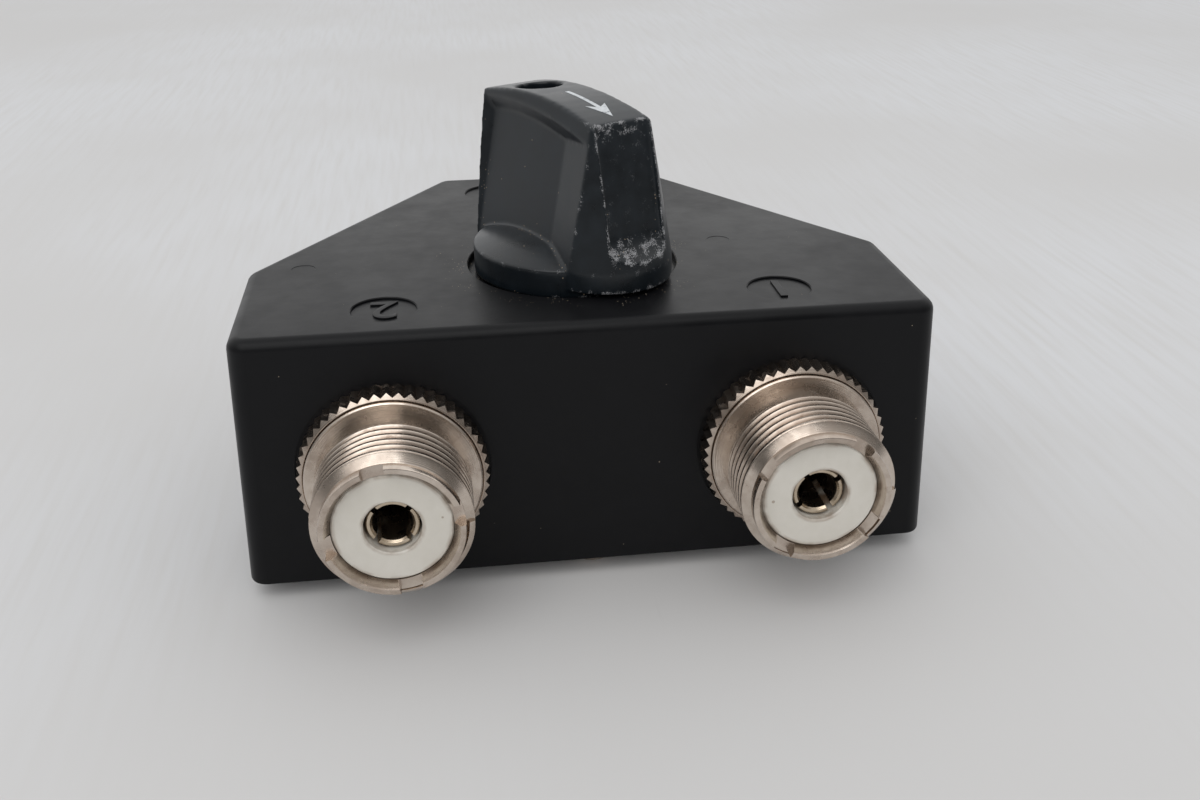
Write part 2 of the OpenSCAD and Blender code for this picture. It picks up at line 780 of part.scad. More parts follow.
module shaft() color(steel) on_axis() {
  difference() {
    union() {
      translate([0, 0, plate_top_z]) cylinder(r = shaft_r, h = shaft_top_z - plate_top_z);
      translate([0, 0, plate_top_z]) cylinder(r = collar_r, h = collar_t);
      translate([0, 0, tenon_z]) tenon(0, plate_top_z - tenon_z + eps);
    }
    translate([0, 0, ring_z])
      difference() {
        cylinder(r = shaft_r + 1, h = ring_t + 2 * ring_gap);
        translate([0, 0, -1]) cylinder(r = ring_groove_r, h = ring_t + 3, $fn = 48);
      }
    translate([-shaft_r - 2, -shaft_r - 1, set_screw_z - 3])
      cube([shaft_r + 2 - shaft_flat, 2 * shaft_r + 2, shaft_top_z - set_screw_z + 4]);
  }
}

module thrust_washer() color(nickel) {
  translate([0, axis_y, bushing_top_z])
    difference() {
      cylinder(r = bushing_flange_r - 0.4, h = washer_t);
      translate([0, 0, -1]) cylinder(r = shaft_r + running_gap, h = washer_t + 2);
    }
}

// Clip in the shaft's groove, open on one side with three inner lugs
module retaining_ring() color(steel) on_axis() {
  ring_r = ring_groove_r + 2.4;
  translate([0, 0, ring_z + ring_gap])
    difference() {
      cylinder(r = ring_r, h = ring_t);
      translate([0, 0, -1]) cylinder(r = ring_groove_r + ring_gap, h = ring_t + 2, $fn = 48);
      for (a = [135, 225])
        rotate([0, 0, a]) translate([0, 0, -1])
          ring_wedge(ring_groove_r, ring_groove_r + 1, -30, 30, ring_t + 2);
      translate([0, -ring_groove_r * 0.8, -1]) cube([ring_r + 1, ring_groove_r * 1.6, ring_t + 2]);
    }
}

// Steel plate with two dimples for the ball and the tab that meets the stops
module detent_plate() color(steel) on_axis() {
  difference() {
    translate([0, 0, plate_z]) union() {
      cylinder(r = plate_r, h = plate_t, $fn = 96);
      translate([-stop_tab_r, -tab_half_w, 0]) cube([stop_tab_r, 2 * tab_half_w, plate_t]);
    }
    translate([0, 0, plate_z - 1]) tenon(tenon_gap, plate_t + 2);
    for (a = [180 - pointer_angle, 180 + pointer_angle])
      rotate([0, 0, a]) translate([track_r, 0, plate_top_z + dimple_r - dimple_depth])
        sphere(r = dimple_r, $fn = 32);
    for (a = [throw_angle, -throw_angle, 180])
      rotate([0, 0, a]) translate([rivet_at_r, 0, plate_z - 1])
        cylinder(r = rivet_r + rivet_gap, h = plate_t + 2, $fn = 24);
  }
}

// Insulating hub that carries the blades
module rotor_hub() color([0.8, 0.78, 0.7]) on_axis() {
  difference() {
    translate([0, 0, hub_z]) cylinder(r = hub_r, h = hub_h);
    translate([0, 0, tenon_z - 0.1]) tenon(tenon_gap, hub_h);
    for (a = [0, throw_angle, -throw_angle, 180])
      rotate([0, 0, a]) translate([rivet_at_r, 0, hub_z - 1])
        cylinder(r = rivet_r + rivet_gap, h = hub_h + 2, $fn = 24);
    translate([rivet_at_r, 0, rivet_pocket_z]) cylinder(r = rivet_head_r + 0.3, h = 2, $fn = 32);
  }
}

// Blade arm with a round tip, from an inner radius to its full reach
module blade_arm(from_r) {
  tip_r = blade_w / 2;
  translate([from_r, -tip_r, 0]) cube([blade_reach - tip_r - from_r, blade_w, blade_t]);
  translate([blade_reach - tip_r, 0, 0]) cylinder(r = tip_r, h = blade_t, $fn = 32);
}

// Hole for a rivet at an angle
module rivet_hole(a) {
  rotate([0, 0, a]) translate([rivet_at_r, 0, -1])
    cylinder(r = rivet_r + rivet_gap, h = blade_t + 2, $fn = 24);
}

module signal_blade() color(brass) on_axis() {
  translate([0, 0, blade_z]) difference() {
    union() {
      cylinder(r = signal_hub_r, h = blade_t, $fn = 48);
      blade_arm(0);
    }
    rivet_hole(0);
  }
}

module ground_blade() color(brass) on_axis() {
  translate([0, 0, blade_z]) difference() {
    union() {
      ring_wedge(ground_in_r, ground_out_r, ground_start, 360 - ground_start, blade_t);
      for (a = [throw_angle, -throw_angle]) rotate([0, 0, a]) blade_arm(ground_in_r + 0.5);
    }
    for (a = [throw_angle, -throw_angle, 180]) rivet_hole(a);
  }
}

// One rivet from the underside of a blade to a level above
module rivet(top_z) {
  translate([rivet_at_r, 0, 0]) {
    translate([0, 0, blade_z - rivet_head_t]) cylinder(r = rivet_head_r, h = rivet_head_t, $fn = 32);
    translate([0, 0, blade_z - eps]) cylinder(r = rivet_r, h = top_z - blade_z + 2 * eps, $fn = 24);
    translate([0, 0, top_z]) cylinder(r = rivet_head_r, h = rivet_head_t, $fn = 32);
  }
}

module blade_rivets() color(nickel) on_axis() {
  rivet(rivet_pocket_z);
  for (a = [throw_angle, -throw_angle, 180]) rotate([0, 0, a]) rivet(plate_top_z);
}

// ---------- Nodes ----------

housing();
bottom_cover();
cover_screws();
port_1_shell();
port_1_ring_nut();
port_1_insulator();
port_1_contact();
port_2_shell();
port_2_ring_nut();
port_2_insulator();
port_2_contact();
common_shell();
common_ring_nut();
common_insulator();
common_contact();
port_1_fork();
port_2_fork();
common_leaf();
shaft_bushing();
detent_spring();
knob();
knob_set_screw();
shaft();
thrust_washer();
retaining_ring();
detent_plate();
rotor_hub();
signal_blade();
ground_blade();
blade_rivets();
detent_ball();
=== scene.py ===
"""Looks of a two-way coaxial antenna switch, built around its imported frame.

Sizes are in millimetres, in the frame's own axes: X to the right and Y to the
back, seen from the two front sockets, and Z up. Each piece is made at its real
size with MM and ends with its object at the origin.
"""

import logging
import math
from collections.abc import Callable, Sequence
from dataclasses import dataclass, field
from enum import Enum

import bpy
import numpy as np
from mathutils import Matrix, Vector

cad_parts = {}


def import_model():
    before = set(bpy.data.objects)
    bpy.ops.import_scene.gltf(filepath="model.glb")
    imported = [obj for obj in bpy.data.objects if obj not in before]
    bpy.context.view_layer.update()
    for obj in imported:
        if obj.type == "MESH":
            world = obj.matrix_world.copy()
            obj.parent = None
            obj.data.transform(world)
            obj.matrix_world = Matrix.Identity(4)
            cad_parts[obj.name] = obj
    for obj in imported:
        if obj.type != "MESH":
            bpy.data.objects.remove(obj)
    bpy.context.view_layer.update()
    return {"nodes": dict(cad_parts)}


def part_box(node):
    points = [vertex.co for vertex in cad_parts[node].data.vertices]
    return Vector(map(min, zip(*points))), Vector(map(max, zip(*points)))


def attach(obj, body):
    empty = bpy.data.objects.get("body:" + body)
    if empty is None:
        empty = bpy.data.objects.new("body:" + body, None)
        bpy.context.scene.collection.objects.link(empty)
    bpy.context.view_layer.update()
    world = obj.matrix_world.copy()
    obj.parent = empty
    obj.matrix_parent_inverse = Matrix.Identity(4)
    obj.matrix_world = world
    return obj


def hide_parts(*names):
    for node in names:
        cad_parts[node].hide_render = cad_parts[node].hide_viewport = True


MM = 0.001
TURNED_STEPS = 96
FINE_STEPS = 144
DOUBLES_APART = 0.001
SHARP_ANGLE = 32
LOCAL_PLACE = "local_place"
# Vertex mask: painted shade in the recesses of the metal and insulator pieces, and dust in the
# knob's creases.
SHADE_AND_GRIME = "groove"
SCUFF = "scuff"
NEAR = 0.01

Colour = tuple[float, float, float, float]

log = logging.getLogger("antenna_switch")


class Body(Enum):
    """The bodies of the frame that pieces ride on."""

    HOUSING = "housing"
    ROTOR = "rotor"


class Slot(Enum):
    """The record's material slots, passed along with each new piece."""

    CASTING = "casting_paint"
    NICKEL = "nickel"
    INSULATOR = "insulator_white"
    CONTACT = "contact_metal"
    STEEL = "steel"
    KNOB = "knob_black"


class Cut(Enum):
    """How a boolean joins two shapes."""

    TAKE_AWAY = "DIFFERENCE"
    JOIN = "UNION"
    KEEP_COMMON = "INTERSECT"


# ---------- Bench tools: modelling by hand with operators ----------


def clear_bench() -> None:
    """Leaves nothing selected, in object mode."""
    if bpy.context.object and bpy.context.object.mode != "OBJECT":
        bpy.ops.object.mode_set(mode="OBJECT")
    bpy.ops.object.select_all(action="DESELECT")


def pick(obj: bpy.types.Object) -> bpy.types.Object:
    """Leaves one object selected and active, in object mode."""
    clear_bench()
    obj.select_set(True)
    bpy.context.view_layer.objects.active = obj
    return obj


def named(name: str) -> bpy.types.Object:
    """Names the primitive that was just added, and returns it."""
    obj = bpy.context.object
    obj.name = name
    obj.data.name = name
    return obj


def settle(obj: bpy.types.Object) -> bpy.types.Object:
    """Puts an object's place into its mesh, so that it sits at the origin."""
    pick(obj)
    bpy.ops.object.transform_apply(location=True, rotation=True, scale=True)
    return obj


def select_where(
    obj: bpy.types.Object, kind: str, test: Callable[[list[Vector]], bool]
) -> None:
    """Selects a mesh's edges or vertices by their place.

    Args:
        obj: the object, left in edit mode.
        kind: VERT or EDGE.
        test: says yes or no to the end places of one element, in millimetres.
    """
    pick(obj)
    bpy.ops.object.mode_set(mode="EDIT")
    bpy.ops.mesh.select_mode(type=kind)
    bpy.ops.mesh.select_all(action="DESELECT")
    bpy.ops.object.mode_set(mode="OBJECT")
    mesh = obj.data
    place = [v.co / MM for v in mesh.vertices]
    for element in mesh.vertices if kind == "VERT" else mesh.edges:
        ends = [element.index] if kind == "VERT" else element.vertices
        if test([place[i] for i in ends]):
            element.select = True
    bpy.ops.object.mode_set(mode="EDIT")


def move_corners(
    obj: bpy.types.Object, test: Callable[[list[Vector]], bool], step: Vector
) -> None:
    """Moves the vertices that pass a test by a step in millimetres."""
    select_where(obj, "VERT", test)
    bpy.ops.transform.translate(value=step * MM)
    bpy.ops.object.mode_set(mode="OBJECT")


def bevel_edges(
    obj: bpy.types.Object, test: Callable[[list[Vector]], bool], width: float, segments: int
) -> None:
    """Bevels the edges that pass a test by a width in millimetres."""
    select_where(obj, "EDGE", test)
    bpy.ops.mesh.bevel(offset=width * MM, segments=segments, affect="EDGES")
    bpy.ops.object.mode_set(mode="OBJECT")


def tidy_mesh(obj: bpy.types.Object) -> bpy.types.Object:
    """Merges doubles and turns all faces outwards."""
    pick(obj)
    bpy.ops.object.mode_set(mode="EDIT")
    bpy.ops.mesh.select_all(action="SELECT")
    bpy.ops.mesh.remove_doubles(threshold=DOUBLES_APART * MM)
    bpy.ops.mesh.normals_make_consistent(inside=False)
    bpy.ops.object.mode_set(mode="OBJECT")
    return obj


def wire(name: str, path: Sequence[tuple[float, float]]) -> bpy.types.Object:
    """Draws a wire through (radius, height) points, and leaves it selected in edit mode."""
    clear_bench()
    radius, height = path[0]
    bpy.ops.mesh.primitive_plane_add(size=0.1 * MM, location=(radius * MM, 0, height * MM))
    obj = settle(named(name))
    bpy.ops.object.mode_set(mode="EDIT")
    bpy.ops.mesh.select_mode(type="VERT")
    bpy.ops.mesh.select_all(action="SELECT")
    bpy.ops.mesh.merge(type="CENTER")
    for (r0, z0), (r1, z1) in zip(path, path[1:]):
        step = ((r1 - r0) * MM, 0, (z1 - z0) * MM)
        bpy.ops.mesh.extrude_vertices_move(TRANSFORM_OT_translate={"value": step})
    bpy.ops.mesh.select_all(action="SELECT")
    return obj


def turned(
    name: str,
    outline: Sequence[tuple[float, float]],
    closed: bool = True,
    steps: int = TURNED_STEPS,
) -> bpy.types.Object:
    """Turns an outline round the Z axis, as on a lathe.

    Args:
        name: the new object's name.
        outline: (radius, height) points in millimetres.
        closed: True for a ring, False for an outline that starts and ends on the axis.
        steps: number of steps round the axis.

    Returns:
        The new object.
    """
    obj = wire(name, list(outline) + ([outline[0]] if closed else []))
    bpy.ops.mesh.spin(steps=steps, angle=math.tau, center=(0, 0, 0), axis=(0, 0, 1))
    return tidy_mesh(obj)


def disc(name: str, radius: float, low: float, high: float, steps: int = 64) -> bpy.types.Object:
    """A short round bar on the Z axis, for cutting or joining."""
    outline = [(0, low), (radius, low), (radius, high), (0, high)]
    return turned(name, outline, closed=False, steps=steps)


def box_bar(name: str, size: Vector, centre: Vector) -> bpy.types.Object:
    """A bar with square edges, for cutting. Size and centre are in millimetres."""
    clear_bench()
    bpy.ops.mesh.primitive_cube_add(size=1, location=centre * MM, scale=size * MM)
    return settle(named(name))


def moved(obj: bpy.types.Object, matrix: Matrix) -> bpy.types.Object:
    """Moves or turns an object by a matrix and settles it."""
    obj.matrix_world = matrix @ obj.matrix_world
    return settle(obj)


def shift(x: float, y: float, z: float) -> Matrix:
    """A move in millimetres."""
    return Matrix.Translation(Vector((x, y, z)) * MM)


def turn(degrees: float, axis: str = "Z") -> Matrix:
    """A turn about one of the main axes."""
    return Matrix.Rotation(math.radians(degrees), 4, axis)


def modified(obj: bpy.types.Object, kind: str, **settings) -> bpy.types.Object:
    """Adds a modifier with its settings and applies it at once."""
    pick(obj)
    bpy.ops.object.modifier_add(type=kind)
    modifier = obj.modifiers[-1]
    for name, value in settings.items():
        setattr(modifier, name, value)
    bpy.ops.object.modifier_apply(modifier=modifier.name)
    return obj


def combine(obj: bpy.types.Object, tool: bpy.types.Object, how: Cut) -> bpy.types.Object:
    """Cuts an object with a tool shape, or joins them, and removes the tool."""
    modified(obj, "BOOLEAN", operation=how.value, solver="EXACT", object=tool)
    bpy.data.objects.remove(tool)
    return obj


def cross_cut(obj: bpy.types.Object, size: Vector, height: float, degrees: float) -> None:
    """Cuts two crossed slots through the Z axis.

    Args:
        obj: the object to cut.
        size: size of the bar that cuts each slot.
        height: height of the bar's middle.
        degrees: turn of the first slot.
    """
    for k in range(2):
        bar = box_bar("slot", size, Vector((0, 0, height)))
        combine(obj, moved(bar, turn(degrees + 90 * k)), Cut.TAKE_AWAY)


def smooth_shaded(obj: bpy.types.Object) -> bpy.types.Object:
    """Shades soft turns smooth, and evens the shading of the flat faces beside them."""
    pick(obj)
    bpy.ops.object.shade_smooth_by_angle(angle=math.radians(SHARP_ANGLE))
    return modified(obj, "WEIGHTED_NORMAL", keep_sharp=True)


def vertex_places(obj: bpy.types.Object) -> np.ndarray:
    """The places of a mesh's vertices in millimetres, one row each."""
    places = np.zeros(len(obj.data.vertices) * 3, np.float32)
    obj.data.vertices.foreach_get("co", places)
    return places.reshape(-1, 3) / MM


def radius_and_height(obj: bpy.types.Object) -> tuple[np.ndarray, np.ndarray]:
    """Each vertex's distance from the Z axis and its height, in millimetres."""
    places = vertex_places(obj)
    return np.hypot(places[:, 0], places[:, 1]), places[:, 2]


def middle_of(node: str) -> Vector:
    """The middle of a frame node's box, in millimetres."""
    low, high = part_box(node)
    return (low + high) / 2 / MM


def store_values(obj: bpy.types.Object, name: str, values: np.ndarray) -> None:
    """Stores one number for each vertex as a named attribute."""
    attribute = obj.data.attributes.new(name, "FLOAT", "POINT")
    attribute.data.foreach_set("value", values.astype(np.float32))


def store_local_place(obj: bpy.types.Object) -> None:
    """Keeps each vertex's place before the piece is moved, for patterns round its axis."""
    attribute = obj.data.attributes.new(LOCAL_PLACE, "FLOAT_VECTOR", "POINT")
    attribute.data.foreach_set("vector", vertex_places(obj).astype(np.float32).ravel())


def dress(obj: bpy.types.Object, material: bpy.types.Material) -> bpy.types.Object:
    """Gives an object one material in place of what it has."""
    obj.data.materials.clear()
    obj.data.materials.append(material)
    return obj


def seat(obj: bpy.types.Object, body: Body, slot: Slot, *nodes: str) -> bpy.types.Object:
    """Makes a finished piece ride on its body and stand for its nodes."""
    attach(obj, body.value)
    if nodes:
        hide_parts(*nodes)
    log.info("%s rides on %s, %d faces", obj.name, body.value, len(obj.data.polygons))
    return obj


# ---------- Materials ----------


class NodeDesk:
    """Places and joins the nodes of one tree."""

    def __init__(self, tree: bpy.types.NodeTree) -> None:
        """Starts with an empty tree."""
        self.tree = tree
        tree.nodes.clear()

    def feed(self, node: bpy.types.Node, inputs: dict) -> None:
        """Gives a node's inputs their values, or joins them to sockets, by name or number."""
        for name, value in inputs.items():
            if isinstance(value, bpy.types.NodeSocket):
                self.tree.links.new(value, node.inputs[name])
            else:
                node.inputs[name].default_value = value

    def add(self, kind: str, inputs: dict | None = None, **settings) -> bpy.types.Node:
        """Adds a node.

        Args:
            kind: the node's type name.
            inputs: values or sockets for the node's inputs, by name or number.
            **settings: the node's own settings.

        Returns:
            The node.
        """
        node = self.tree.nodes.new(kind)
        for name, value in settings.items():
            setattr(node, name, value)
        self.feed(node, inputs or {})
        return node

    def math(self, operation: str, *values) -> bpy.types.NodeSocket:
        """Adds a Math node and returns its output."""
        node = self.add("ShaderNodeMath", dict(enumerate(values)), operation=operation)
        return node.outputs[0]

    def span(self, value, scale, base) -> bpy.types.NodeSocket:
        """Multiplies a value by a scale and adds a base."""
        return self.math("MULTIPLY_ADD", value, scale, base)

    def ramp(self, value, low: float, high: float) -> bpy.types.NodeSocket:
        """Stretches a value so that low becomes 0 and high becomes 1, smoothly."""
        inputs = {"Value": value, "From Min": low, "From Max": high}
        node = self.add("ShaderNodeMapRange", inputs, interpolation_type="SMOOTHSTEP")
        return node.outputs["Result"]

    def mix(self, factor, a, b) -> bpy.types.NodeSocket:
        """Mixes two colours by a factor and returns the colour."""
        node = self.add("ShaderNodeMix", {0: factor, 6: a, 7: b}, data_type="RGBA")
        return node.outputs[2]

    def noise(self, vector, scale, detail: float = 3, roughness: float = 0.5, **settings):
        """Adds a Noise node and returns its value."""
        inputs = {"Vector": vector, "Scale": scale, "Detail": detail, "Roughness": roughness}
        return self.add("ShaderNodeTexNoise", inputs, **settings).outputs["Fac"]

    def stretched(self, vector, scale: tuple[float, float, float], turn_z: float = 0):
        """Turns a vector about Z by degrees and scales each part of it."""
        inputs = {"Vector": vector, "Rotation": (0, 0, math.radians(turn_z)), "Scale": scale}
        return self.add("ShaderNodeMapping", inputs).outputs["Vector"]

    def effect(self, tree: bpy.types.NodeTree, vector, **numbers) -> bpy.types.NodeSocket:
        """Places a shared effect and returns its value."""
        inputs = {"Vector": vector, **numbers}
        return self.add("ShaderNodeGroup", inputs, node_tree=tree).outputs["Value"]

    def attribute(self, name: str) -> bpy.types.Node:
        """Adds the reader of a vertex attribute."""
        return self.add("ShaderNodeAttribute", attribute_name=name)

    def bump(self, height, strength: float, distance: float, under=None):
        """Adds a Bump node, distance in millimetres, and returns its normal."""
        inputs = {"Height": height, "Strength": strength, "Distance": distance * MM}
        if under is not None:
            inputs["Normal"] = under
        return self.add("ShaderNodeBump", inputs).outputs["Normal"]


def new_effect(name: str, **numbers: float) -> tuple[NodeDesk, bpy.types.NodeOutputs]:
    """Starts a node group that makes one value from a vector.

    Args:
        name: the group's name.
        **numbers: its number inputs with their defaults.

    Returns:
        The desk of its tree and the sockets of its input node.
    """
    tree = bpy.data.node_groups.new(name, "ShaderNodeTree")
    sockets = tree.interface
    sockets.new_socket(name="Vector", in_out="INPUT", socket_type="NodeSocketVector")
    for label, default in numbers.items():
        number = sockets.new_socket(name=label, in_out="INPUT", socket_type="NodeSocketFloat")
        number.default_value = default
    sockets.new_socket(name="Value", in_out="OUTPUT", socket_type="NodeSocketFloat")
    desk = NodeDesk(tree)
    return desk, desk.add("NodeGroupInput").outputs


def finished(desk: NodeDesk, value: bpy.types.NodeSocket) -> bpy.types.NodeTree:
    """Joins an effect's value to its output, and returns its tree."""
    desk.add("NodeGroupOutput", {"Value": value})
    return desk.tree


@dataclass
class SharedEffects:
    """Node groups that several finishes use, each built once."""

    specks: bpy.types.NodeTree = field(init=False)
    mottle: bpy.types.NodeTree = field(init=False)
    scratches: bpy.types.NodeTree = field(init=False)
    lathe_marks: bpy.types.NodeTree = field(init=False)

    def __post_init__(self) -> None:
        """Builds all groups."""
        self.specks = self.build_specks()
        self.mottle = self.build_mottle()
        self.scratches = self.build_scratches()
        self.lathe_marks = self.build_lathe_marks()

    @staticmethod
    def build_specks() -> bpy.types.NodeTree:
        """Dust: small round specks, scattered unevenly."""
        desk, given = new_effect("dust_specks", Scale=1500.0, Amount=0.2)
        inputs = {"Vector": given["Vector"], "Scale": given["Scale"]}
        cells = desk.add("ShaderNodeTexVoronoi", inputs).outputs
        chance = desk.add("ShaderNodeSeparateColor", {"Color": cells["Color"]}).outputs
        chosen = desk.math("LESS_THAN", chance[0], given["Amount"])
        near = desk.math("LESS_THAN", cells["Distance"], desk.span(chance[1], 0.22, 0.08))
        return finished(desk, desk.math("MULTIPLY", chosen, near))

    @staticmethod
    def build_mottle() -> bpy.types.NodeTree:
        """Slow and quick unevenness, from 0 to 1."""
        desk, given = new_effect("mottle", Scale=60.0)
        slow = desk.noise(given["Vector"], given["Scale"], 4)
        quick = desk.noise(given["Vector"], desk.math("MULTIPLY", given["Scale"], 7.0), 3)
        both = desk.span(quick, 0.35, desk.math("MULTIPLY", slow, 0.65))
        return finished(desk, desk.ramp(both, 0.3, 0.7))

    @staticmethod
    def build_scratches() -> bpy.types.NodeTree:
        """Short scratches where a mask is high, drawn along the vector's X axis."""
        desk, given = new_effect("scratches", Scale=7000.0, Where=1.0)
        lines = desk.noise(desk.stretched(given["Vector"], (0.16, 1, 1)), given["Scale"], 2)
        patches = desk.noise(given["Vector"], 1100.0, 3)
        level = desk.math("MULTIPLY", lines, patches)
        over = desk.math("SUBTRACT", level, desk.span(given["Where"], -0.15, 0.4))
        worn = desk.ramp(given["Where"], 0.05, 0.4)
        return finished(desk, desk.math("MULTIPLY", desk.ramp(over, 0.0, 0.05), worn))

    @staticmethod
    def build_lathe_marks() -> bpy.types.NodeTree:
        """Fine rings round the local Z axis, for turned metal."""
        desk, given = new_effect("lathe_marks", Scale=6.0)
        parts = desk.add("ShaderNodeSeparateXYZ", {0: given["Vector"]}).outputs
        flat = desk.add("ShaderNodeCombineXYZ", {0: parts[0], 1: parts[1]}).outputs[0]
        radius = desk.add("ShaderNodeVectorMath", {0: flat}, operation="LENGTH").outputs["Value"]
        across = desk.add("ShaderNodeCombineXYZ", {0: radius, 1: parts[2]}).outputs[0]
        return finished(desk, desk.noise(across, given["Scale"], 4, noise_dimensions="2D"))


@dataclass(frozen=True)
class Finish:
    """A material of one kind of surface. Each kind sets its own colours, wear and relief."""

    name: str

    def make(self, effects: SharedEffects) -> bpy.types.Material:
        """Builds the material from the shared effects."""
        material = bpy.data.materials.new(self.name)
        material.use_nodes = True
        desk = NodeDesk(material.node_tree)
        shader = desk.add("ShaderNodeBsdfPrincipled")
        desk.add("ShaderNodeOutputMaterial", {"Surface": shader.outputs["BSDF"]})
        place = desk.add("ShaderNodeTexCoord").outputs["Object"]
        desk.feed(shader, self.surface(desk, effects, place))
        return material

    def surface(self, desk: NodeDesk, effects: SharedEffects, place) -> dict:
        """The shader's inputs by name.

        Args:
            desk: the material's desk.
            effects: the shared effects.
            place: the object coordinates, in metres.

        Returns:
            A value or socket for each input that the finish sets.
        """
        raise NotImplementedError


@dataclass(frozen=True)
class BlackEnamel(Finish):
    """Semi-gloss stoved enamel on a casting: uneven tone, orange peel, faint streaks and dust."""

    colour: Colour = (0.0035, 0.0036, 0.0042, 1)
    dust_colour: Colour = (0.30, 0.25, 0.19, 1)
    low_roughness: float = 0.3
    high_roughness: float = 0.44
    dust_centre: tuple[float, float] = (0.0, -8.25)
    dust_from: float = 11.6
    dust_to: float = 16.5

    def surface(self, desk: NodeDesk, effects: SharedEffects, place) -> dict:
        """Uneven black with orange peel, faint rubbing streaks and standing dust."""
        uneven = desk.effect(effects.mottle, place, Scale=55.0)
        dust = self.dust_mask(desk, effects, place)
        tone = desk.mix(uneven, self.colour, tuple(1.5 * c for c in self.colour[:3]) + (1,))
        rough = desk.span(uneven, self.high_roughness - self.low_roughness, self.low_roughness)
        peel = desk.bump(desk.noise(place, 900, 2), 0.16, 0.05)
        streaks = desk.noise(desk.stretched(place, (1, 1, 0.35)), 330, 3)
        waves = desk.bump(streaks, 0.12, 0.12, peel)
        return {
            "Base Color": desk.mix(dust, tone, self.dust_colour),
            "Roughness": desk.span(dust, 0.4, rough),
            "Normal": desk.bump(dust, 0.5, 0.05, waves),
            "Specular IOR Level": 0.17,
        }

    def dust_mask(self, desk: NodeDesk, effects: SharedEffects, place):
        """Specks all over, and many more in a ring round the knob."""
        parts = desk.add("ShaderNodeSeparateXYZ", {0: place}).outputs
        x, y = (desk.math("SUBTRACT", parts[k], self.dust_centre[k] * MM) for k in range(2))
        squares = desk.math("ADD", desk.math("MULTIPLY", x, x), desk.math("MULTIPLY", y, y))
        radius = desk.math("SQRT", squares)
        ring = desk.ramp(radius, self.dust_to * MM, self.dust_from * MM)
        patchy = desk.math("MULTIPLY", ring, desk.ramp(desk.noise(place, 260, 4), 0.42, 0.7))
        amount = desk.span(patchy, 0.8, 0.0012)
        return desk.effect(effects.specks, place, Scale=4600.0, Amount=amount)


@dataclass(frozen=True)
class WornNickel(Finish):
    """Dull nickel plate, warm with age, with lathe marks, brown stains, and painted shade in the
    thread roots and other recesses.
    """

    bright: Colour = (0.67, 0.59, 0.515, 1)
    dull: Colour = (0.38, 0.305, 0.25, 1)
    stain_and_shade: Colour = (0.16, 0.085, 0.045, 1)
    low_roughness: float = 0.14
    high_roughness: float = 0.34

    def surface(self, desk: NodeDesk, effects: SharedEffects, place) -> dict:
        """Uneven plate, stained in patches and with painted shade in its grooves, with turned marks.
        """
        local = desk.attribute(LOCAL_PLACE).outputs["Vector"]
        groove = desk.attribute(SHADE_AND_GRIME).outputs["Fac"]
        uneven = desk.effect(effects.mottle, place, Scale=160.0)
        marks = desk.effect(effects.lathe_marks, local, Scale=9.0)
        tone = desk.mix(desk.math("MULTIPLY", uneven, 0.75), self.bright, self.dull)
        patches = desk.ramp(desk.noise(place, 520, 5, 0.6), 0.56, 0.72)
        stained = desk.math("MULTIPLY", patches, desk.span(groove, 0.5, 0.28))
        brown = desk.mix(stained, tone, self.stain_and_shade)
        rough = desk.span(uneven, self.high_roughness - self.low_roughness, self.low_roughness)
        turned_marks = desk.bump(marks, 0.35, 0.03)
        return {
            # Painted shade: recesses are mixed towards the stain colour by the depth of the stored
            # mask.
            "Base Color": desk.mix(desk.math("MULTIPLY", groove, 0.95), brown, self.stain_and_shade),
            "Metallic": desk.span(stained, -0.5, 1.0),
            "Roughness": desk.math("ADD", rough, desk.math("MULTIPLY", stained, 0.25)),
            "Normal": desk.bump(desk.noise(place, 2600, 2), 0.12, 0.02, turned_marks),
        }


@dataclass(frozen=True)
class MouldedPlastic(Finish):
    """Moulded insulating plastic: slight unevenness, fine grain, a few stains, darker edges and
    painted shade in recesses.
    """

    colour: Colour
    shade: Colour
    stain_and_shade: Colour = (0.30, 0.21, 0.13, 1)
    roughness: float = 0.42

    def surface(self, desk: NodeDesk, effects: SharedEffects, place) -> dict:
        """Uneven plastic, darker along its edges and with painted shade in recesses, with a few
        specks and a fine grain.
        """
        uneven = desk.effect(effects.mottle, place, Scale=130.0)
        groove = desk.attribute(SHADE_AND_GRIME).outputs["Fac"]
        # Painted shade: the stored mask darkens the plastic towards the stain colour, in patches of
        # noise.
        edge = desk.math("MULTIPLY", groove, desk.ramp(desk.noise(place, 480, 4), 0.35, 0.65))
        specks = desk.effect(effects.specks, place, Scale=1100.0, Amount=0.012)
        marks = desk.math("MAXIMUM", edge, desk.math("MULTIPLY", specks, 0.6))
        tone = desk.mix(uneven, self.colour, self.shade)
        return {
            "Base Color": desk.mix(marks, tone, self.stain_and_shade),
            "Roughness": desk.span(uneven, 0.14, self.roughness),
            "Normal": desk.bump(desk.noise(place, 1500, 3), 0.12, 0.03),
        }


